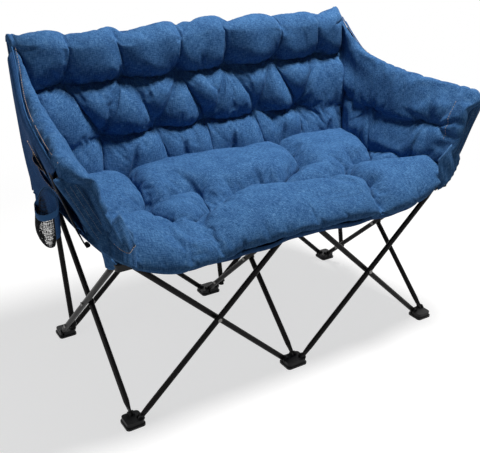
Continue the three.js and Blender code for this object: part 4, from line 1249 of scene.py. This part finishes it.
def make_binding(side, pad):
    """Stitches down the front of an arm, laid on its padding."""
    tree = BVHTree.FromPolygons([v.co for v in pad.data.vertices],
                                [tuple(p.vertices) for p in pad.data.polygons])
    path = []
    way = SIDES[side]
    for y, z in spline([(-0.222, 0.702), (-0.226, 0.668), (-0.231, 0.630), (-0.236, 0.594)], 40):
        hit = tree.ray_cast(Vector((way * 0.3, y + ROW, z)), Vector((way, 0, 0)))[0]
        if hit is not None:
            path.append(hit - Vector((way * 0.0006, 0, 0)))
    follow_arm(stitch_line(f"{side}_front_stitches", path, FRONT_STITCH), side, "front")


# The arm's front: strip, webbing, and the cloth over the hub

POST_RADIUS = 0.0085
STRIP_ENDS = (0.546, 0.708)
STRIP_HALF = 0.0205
STRIP_THICK = 0.0115
STRIP_SHIFT = 0.003  # towards the sitter, from the post's middle
STRIP_AHEAD = 0.007
STRIP_CLOTH = (0.11, 0.18)  # way round, and height
STRIP_LEAN = 0.16
STRIP_ROWS = (-0.013, -0.001, 0.011)
ROWS_ENDS = (0.552, 0.690)
ROWS_AHEAD = 0.0188
STRAP_RUN = ((0.642, -0.240, 0.706), (0.634, -0.249, 0.672), (0.620, -0.254, 0.630), (0.604, -0.258, 0.580),
             (0.592, -0.262, 0.548), (0.588, -0.264, 0.538))
STRAP_EDGES = (-0.003, 0.019)
STRAP_OUT = 0.014
STRAP_ROLL = 0.0055
STRAP_END = ((0.596, -0.266, 0.540), (0.595, -0.256, 0.536), (0.596, -0.246, 0.540))
CORNER_TOP = ((0.598, -0.246, 0.562), (0.566, -0.256, 0.582), (0.536, -0.262, 0.586),
              (0.512, -0.266, 0.570), (0.490, -0.264, 0.548))
CORNER_LOW = ((0.590, -0.256, 0.546), (0.575, -0.272, 0.528), (0.541, -0.284, 0.494),
              (0.512, -0.289, 0.474), (0.490, -0.280, 0.456))
EAR_BASE = ((-0.556, -0.262, 0.556), (-0.540, -0.268, 0.590), (-0.520, -0.272, 0.600))
EAR_TIP = ((-0.545, -0.282, 0.540), (-0.520, -0.292, 0.530), (-0.496, -0.288, 0.528))


def post_axis(z):
    """Middle of the arm's front post at height z: X and Y."""
    low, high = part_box("right_arm_post")
    share = (z - low.z) / (high.z - low.z)
    return low.x + POST_RADIUS + share * (high.x - low.x - 2 * POST_RADIUS), (low.y + high.y) / 2


def make_strip(side):
    """Flat sewn sleeve in front of the arm post, with its rows of stitches."""
    way = SIDES[side]
    around = 28
    heights = np.linspace(*STRIP_ENDS, 40)
    rings = []
    for z in heights:
        x, y = post_axis(z)
        t = (z - heights[0]) / (heights[-1] - heights[0])
        close = min(1.0, (1 - t) / 0.12)
        half_x = STRIP_HALF + 0.001 * math.sin(9 * t)
        half_y = STRIP_THICK * (0.35 + 0.65 * math.sqrt(1 - (1 - close) ** 2))
        ring = []
        for j in range(around):
            angle = 2 * math.pi * j / around
            c, n = math.cos(angle), math.sin(angle)
            px = math.copysign(abs(c) ** 0.45, c) * half_x
            py = math.copysign(abs(n) ** 0.45, n) * half_y
            ring.append((way * (x - STRIP_SHIFT + px), y - STRIP_AHEAD + py, z - STRIP_LEAN * px))
        rings.append(ring)
    girth, length = STRIP_CLOTH
    uv = np.stack(np.meshgrid(np.linspace(0, girth, around), np.linspace(0, length, len(rings))), axis=2)
    strip = mesh_object(f"{side}_arm_strip", np.array(rings).reshape(-1, 3),
                        tube_faces(len(rings), around, flip=way < 0), PADDING, uv.reshape(-1, 2))
    refine(strip)
    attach(strip, f"{side}_arm_post")
    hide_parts(f"{side}_arm_sleeve")
    for number, shift in enumerate(STRIP_ROWS, 1):
        path = []
        for z in np.linspace(*ROWS_ENDS, 40):
            x, y = post_axis(z)
            path.append((way * (x - STRIP_SHIFT + shift), y - ROWS_AHEAD, z - STRIP_LEAN * shift))
        line = stitch_line(f"{side}_strip_stitches_{number}", path, STRIP_STITCH, BLUE_THREAD)
        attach(line, f"{side}_arm_post")


def make_strap(side):
    """Black webbing behind the front strip, with its rolled end."""
    way = SIDES[side]
    line = spline(STRAP_RUN, 40)
    grid = np.zeros((2, len(line), 3))
    for k, (x, y, z) in enumerate(line):
        for row, d in enumerate(STRAP_EDGES):
            grid[row, k] = (way * (x + STRAP_OUT), y - 0.004 + ROW + d, z + 0.2 * d)
    strap = sheet_object(f"{side}_webbing", grid, STRAP, WEBBING, flip=way > 0)
    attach(strap, f"{side}_arm_post")
    rolled = tube_object(f"{side}_webbing_end", [(way * x, y + ROW, z) for x, y, z in STRAP_END],
                         STRAP_ROLL, STRAP, sides=10)
    refine(rolled)
    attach(rolled, f"{side}_arm_post")


def between(first, last, rows):
    """Rows of points from one line to another, each with its share of the way across and along."""
    for i in range(rows):
        t = i / (rows - 1)
        for k in range(len(first)):
            yield i, k, t, k / (len(first) - 1), first[k] * (1 - t) + last[k] * t


def make_corner(side):
    """Gathered cloth where the arm and the seat meet over the front hub."""
    way = SIDES[side]
    rows, columns = 16, 46
    grid = np.zeros((rows, columns, 3))
    for i, k, t, s, (x, y, z) in between(spline(CORNER_TOP, columns), spline(CORNER_LOW, columns), rows):
        bow = 0.006 * math.sin(math.pi * min(1, 0.25 + 0.75 * t)) * math.sin(math.pi * (0.08 + 0.86 * s))
        gather = 0.0020 * math.sin(19 * s + 4 * t) * math.sin(math.pi * t)
        gather += 0.0010 * math.sin(47 * s + 2) * t
        grid[i, k] = (way * (x + 0.4 * gather), y - bow - gather + ROW, z + 0.3 * gather)
    cloth = sheet_object(f"{side}_corner_cloth", grid, PADDING, FACE_CLOTH, flip=way < 0)
    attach(cloth, f"front_{side}_hub")
    round(grid_area(grid) * 1.03, 5)


def make_ear():
    """Turned-back corner of cloth, with a frayed edge, by the left arm's foot."""
    rows, columns = 14, 20
    grid = np.zeros((rows, columns, 3))
    for i, k, t, s, (x, y, z) in between(spline(EAR_BASE, columns), spline(EAR_TIP, columns), rows):
        bow = 0.017 * math.sin(math.pi * t * 0.8) * (0.35 + 0.65 * math.sin(math.pi * s))
        ripple = 0.0022 * math.sin(15 * s + 5 * t)
        droop = 0.012 * math.sin(math.pi * s) * t * t
        grid[i, k] = (x, y - bow - ripple * t + ROW, z + ripple * (1 - t) - droop)
    ear = sheet_object("left_corner_ear", grid, PADDING, FACE_CLOTH, flip=True)
    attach(ear, "front_left_hub")
    round(grid_area(grid) * 1.02, 5)
    fray = grid[-1] - np.array([0, 0.0015, 0])
    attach(stitch_line("left_ear_fray", fray, FRAY_STITCH), "front_left_hub")


COVER_HALF = 0.562
COVER_ENDS = (0.484, BACK_HIGH + 0.014)


def make_rear_cover():
    """Dark cloth behind the back posts."""
    x, z = np.meshgrid(np.linspace(-COVER_HALF, COVER_HALF, 120), np.linspace(*COVER_ENDS, 48))
    y = post_line(z) + 0.012 + 0.002 * np.sin(x * 37 + z * 11) * smooth(0.5, 0.56, z)
    cover = sheet_object("rear_panel", np.stack([x, y, z], axis=2), PANEL, PANEL_CLOTH, flip=True)
    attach(cover, "middle_back_post")
    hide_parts("rear_cover")
    fold_across(cover)


# Cup holders

CUP_MOUTH = ((0.596, 0.135, 0.494), (0.608, 0.080, 0.492), (0.604, 0.020, 0.506), (0.584, -0.026, 0.538),
             (0.578, 0.000, 0.566), (0.586, 0.034, 0.576), (0.588, 0.082, 0.552), (0.588, 0.122, 0.518))
CUP_CELLS, CUP_RINGS = 56, 20
CUP_SHIFT = 0.020  # the net's floor, ahead of the middle of its box
CUP_FLOOR = (0.035, 0.072)
NET_CORD = 0.0016
BAND_SECTION = ((-0.016, 0.0026), (-0.008, 0.0042), (0.002, 0.0040), (0.004, 0.0015), (0.001, -0.0008),
                (-0.012, 0.0))  # (over the mouth, outwards)


def make_cup_net(side, mouth):
    """Open net below the mouth."""
    low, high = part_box(f"{side}_cup_holder_net")
    base_x, base_y = abs((low + high).x / 2), (low + high).y / 2 - CUP_SHIFT
    grid = np.zeros((CUP_RINGS, CUP_CELLS, 3))
    for i in range(CUP_RINGS):
        t = i / (CUP_RINGS - 1)
        full = math.sqrt(max(0.0, 1 - (1 - t) ** 2.2))
        spread = 0.35 + 0.65 * full
        blend = smooth(0.15, 1.0, t)
        for j in range(CUP_CELLS):
            angle = math.atan2(mouth[j, 1] - base_y, mouth[j, 0] - base_x)
            floor = np.array([base_x + CUP_FLOOR[0] * spread * math.cos(angle),
                              base_y + CUP_FLOOR[1] * spread * math.sin(angle),
                              low.z + 0.004 + 0.004 * math.sin(2 * angle)])
            grid[i, j] = floor * (1 - blend) + mouth[j] * blend
            grid[i, j, 2] = floor[2] + (mouth[j, 2] - floor[2]) * t ** 1.1
    grid[:, :, 0] *= SIDES[side]
    faces = grid_faces(CUP_RINGS, CUP_CELLS, around=True)
    faces.append(tuple(range(CUP_CELLS))[::-1])
    net = mesh_object(f"{side}_cup_net", grid.reshape(-1, 3), faces, NET)
    wires = net.modifiers.new("net", "WIREFRAME")
    wires.thickness = NET_CORD
    wires.use_even_offset = False
    apply_modifiers(net)
    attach(net, f"rear_{side}_hub")
    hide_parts(f"{side}_cup_holder_net")


def make_cup_cloth(side, mouth):
    """Cloth behind the mouth, and a band round it that is pulled up to a corner at the front."""
    way = SIDES[side]
    body = f"rear_{side}_hub"
    inner = np.arange(int(CUP_CELLS * 0.42), CUP_CELLS + 4) % CUP_CELLS
    tongue = np.array([mouth[inner] + np.array([0, 0, -d]) for d in np.linspace(0.004, 0.075, 8)])
    tongue[:, :, 0] *= way
    backing = sheet_object(f"{side}_cup_backing", tongue, PANEL, CUP_CLOTH, flip=way < 0)
    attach(backing, body)
    width = float(np.linalg.norm(np.diff(mouth[inner], axis=0), axis=1).sum())
    round(grid_area(tongue) * 1.02, 5)
    away = mouth - mouth.mean(axis=0)
    away[:, 2] = 0
    away /= np.linalg.norm(away, axis=1)[:, None]
    band = np.array([mouth + away * out + np.array([0, 0, level]) for level, out in BAND_SECTION])
    band[:, :, 0] *= way
    faces = grid_faces(len(band), CUP_CELLS, around=True)
    last = (len(band) - 1) * CUP_CELLS
    for j in range(CUP_CELLS):
        k = (j + 1) % CUP_CELLS
        faces.append((last + j, last + k, k, j))
    hoop = mesh_object(f"{side}_cup_band", band.reshape(-1, 3), faces, PADDING)
    refine(hoop)
    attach(hoop, body)
    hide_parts(f"{side}_cup_holder_band")


bpy.context.scene.view_settings.view_transform = "Standard"
make_camera()
make_world()
make_floor()
make_lamps()
dress_frame()
make_back()
make_seat()
make_seat_base()
cup_mouth = spline(CUP_MOUTH + CUP_MOUTH[:1], CUP_CELLS + 1)[:-1]
cup_mouth[:, 1] += ROW
for arm_side in SIDES:
    front_pad = make_arm(arm_side)
    # The photograph shows these stitches at the right arm only, and the webbing at the left one
    if arm_side == "right":
        make_binding(arm_side, front_pad)
    else:
        make_strap(arm_side)
    make_side_panel(arm_side)
    make_pockets(arm_side)
    make_seams(arm_side)
    make_strip(arm_side)
    make_corner(arm_side)
    make_cup_net(arm_side, cup_mouth)
    make_cup_cloth(arm_side, cup_mouth)
make_ear()
make_rear_cover()
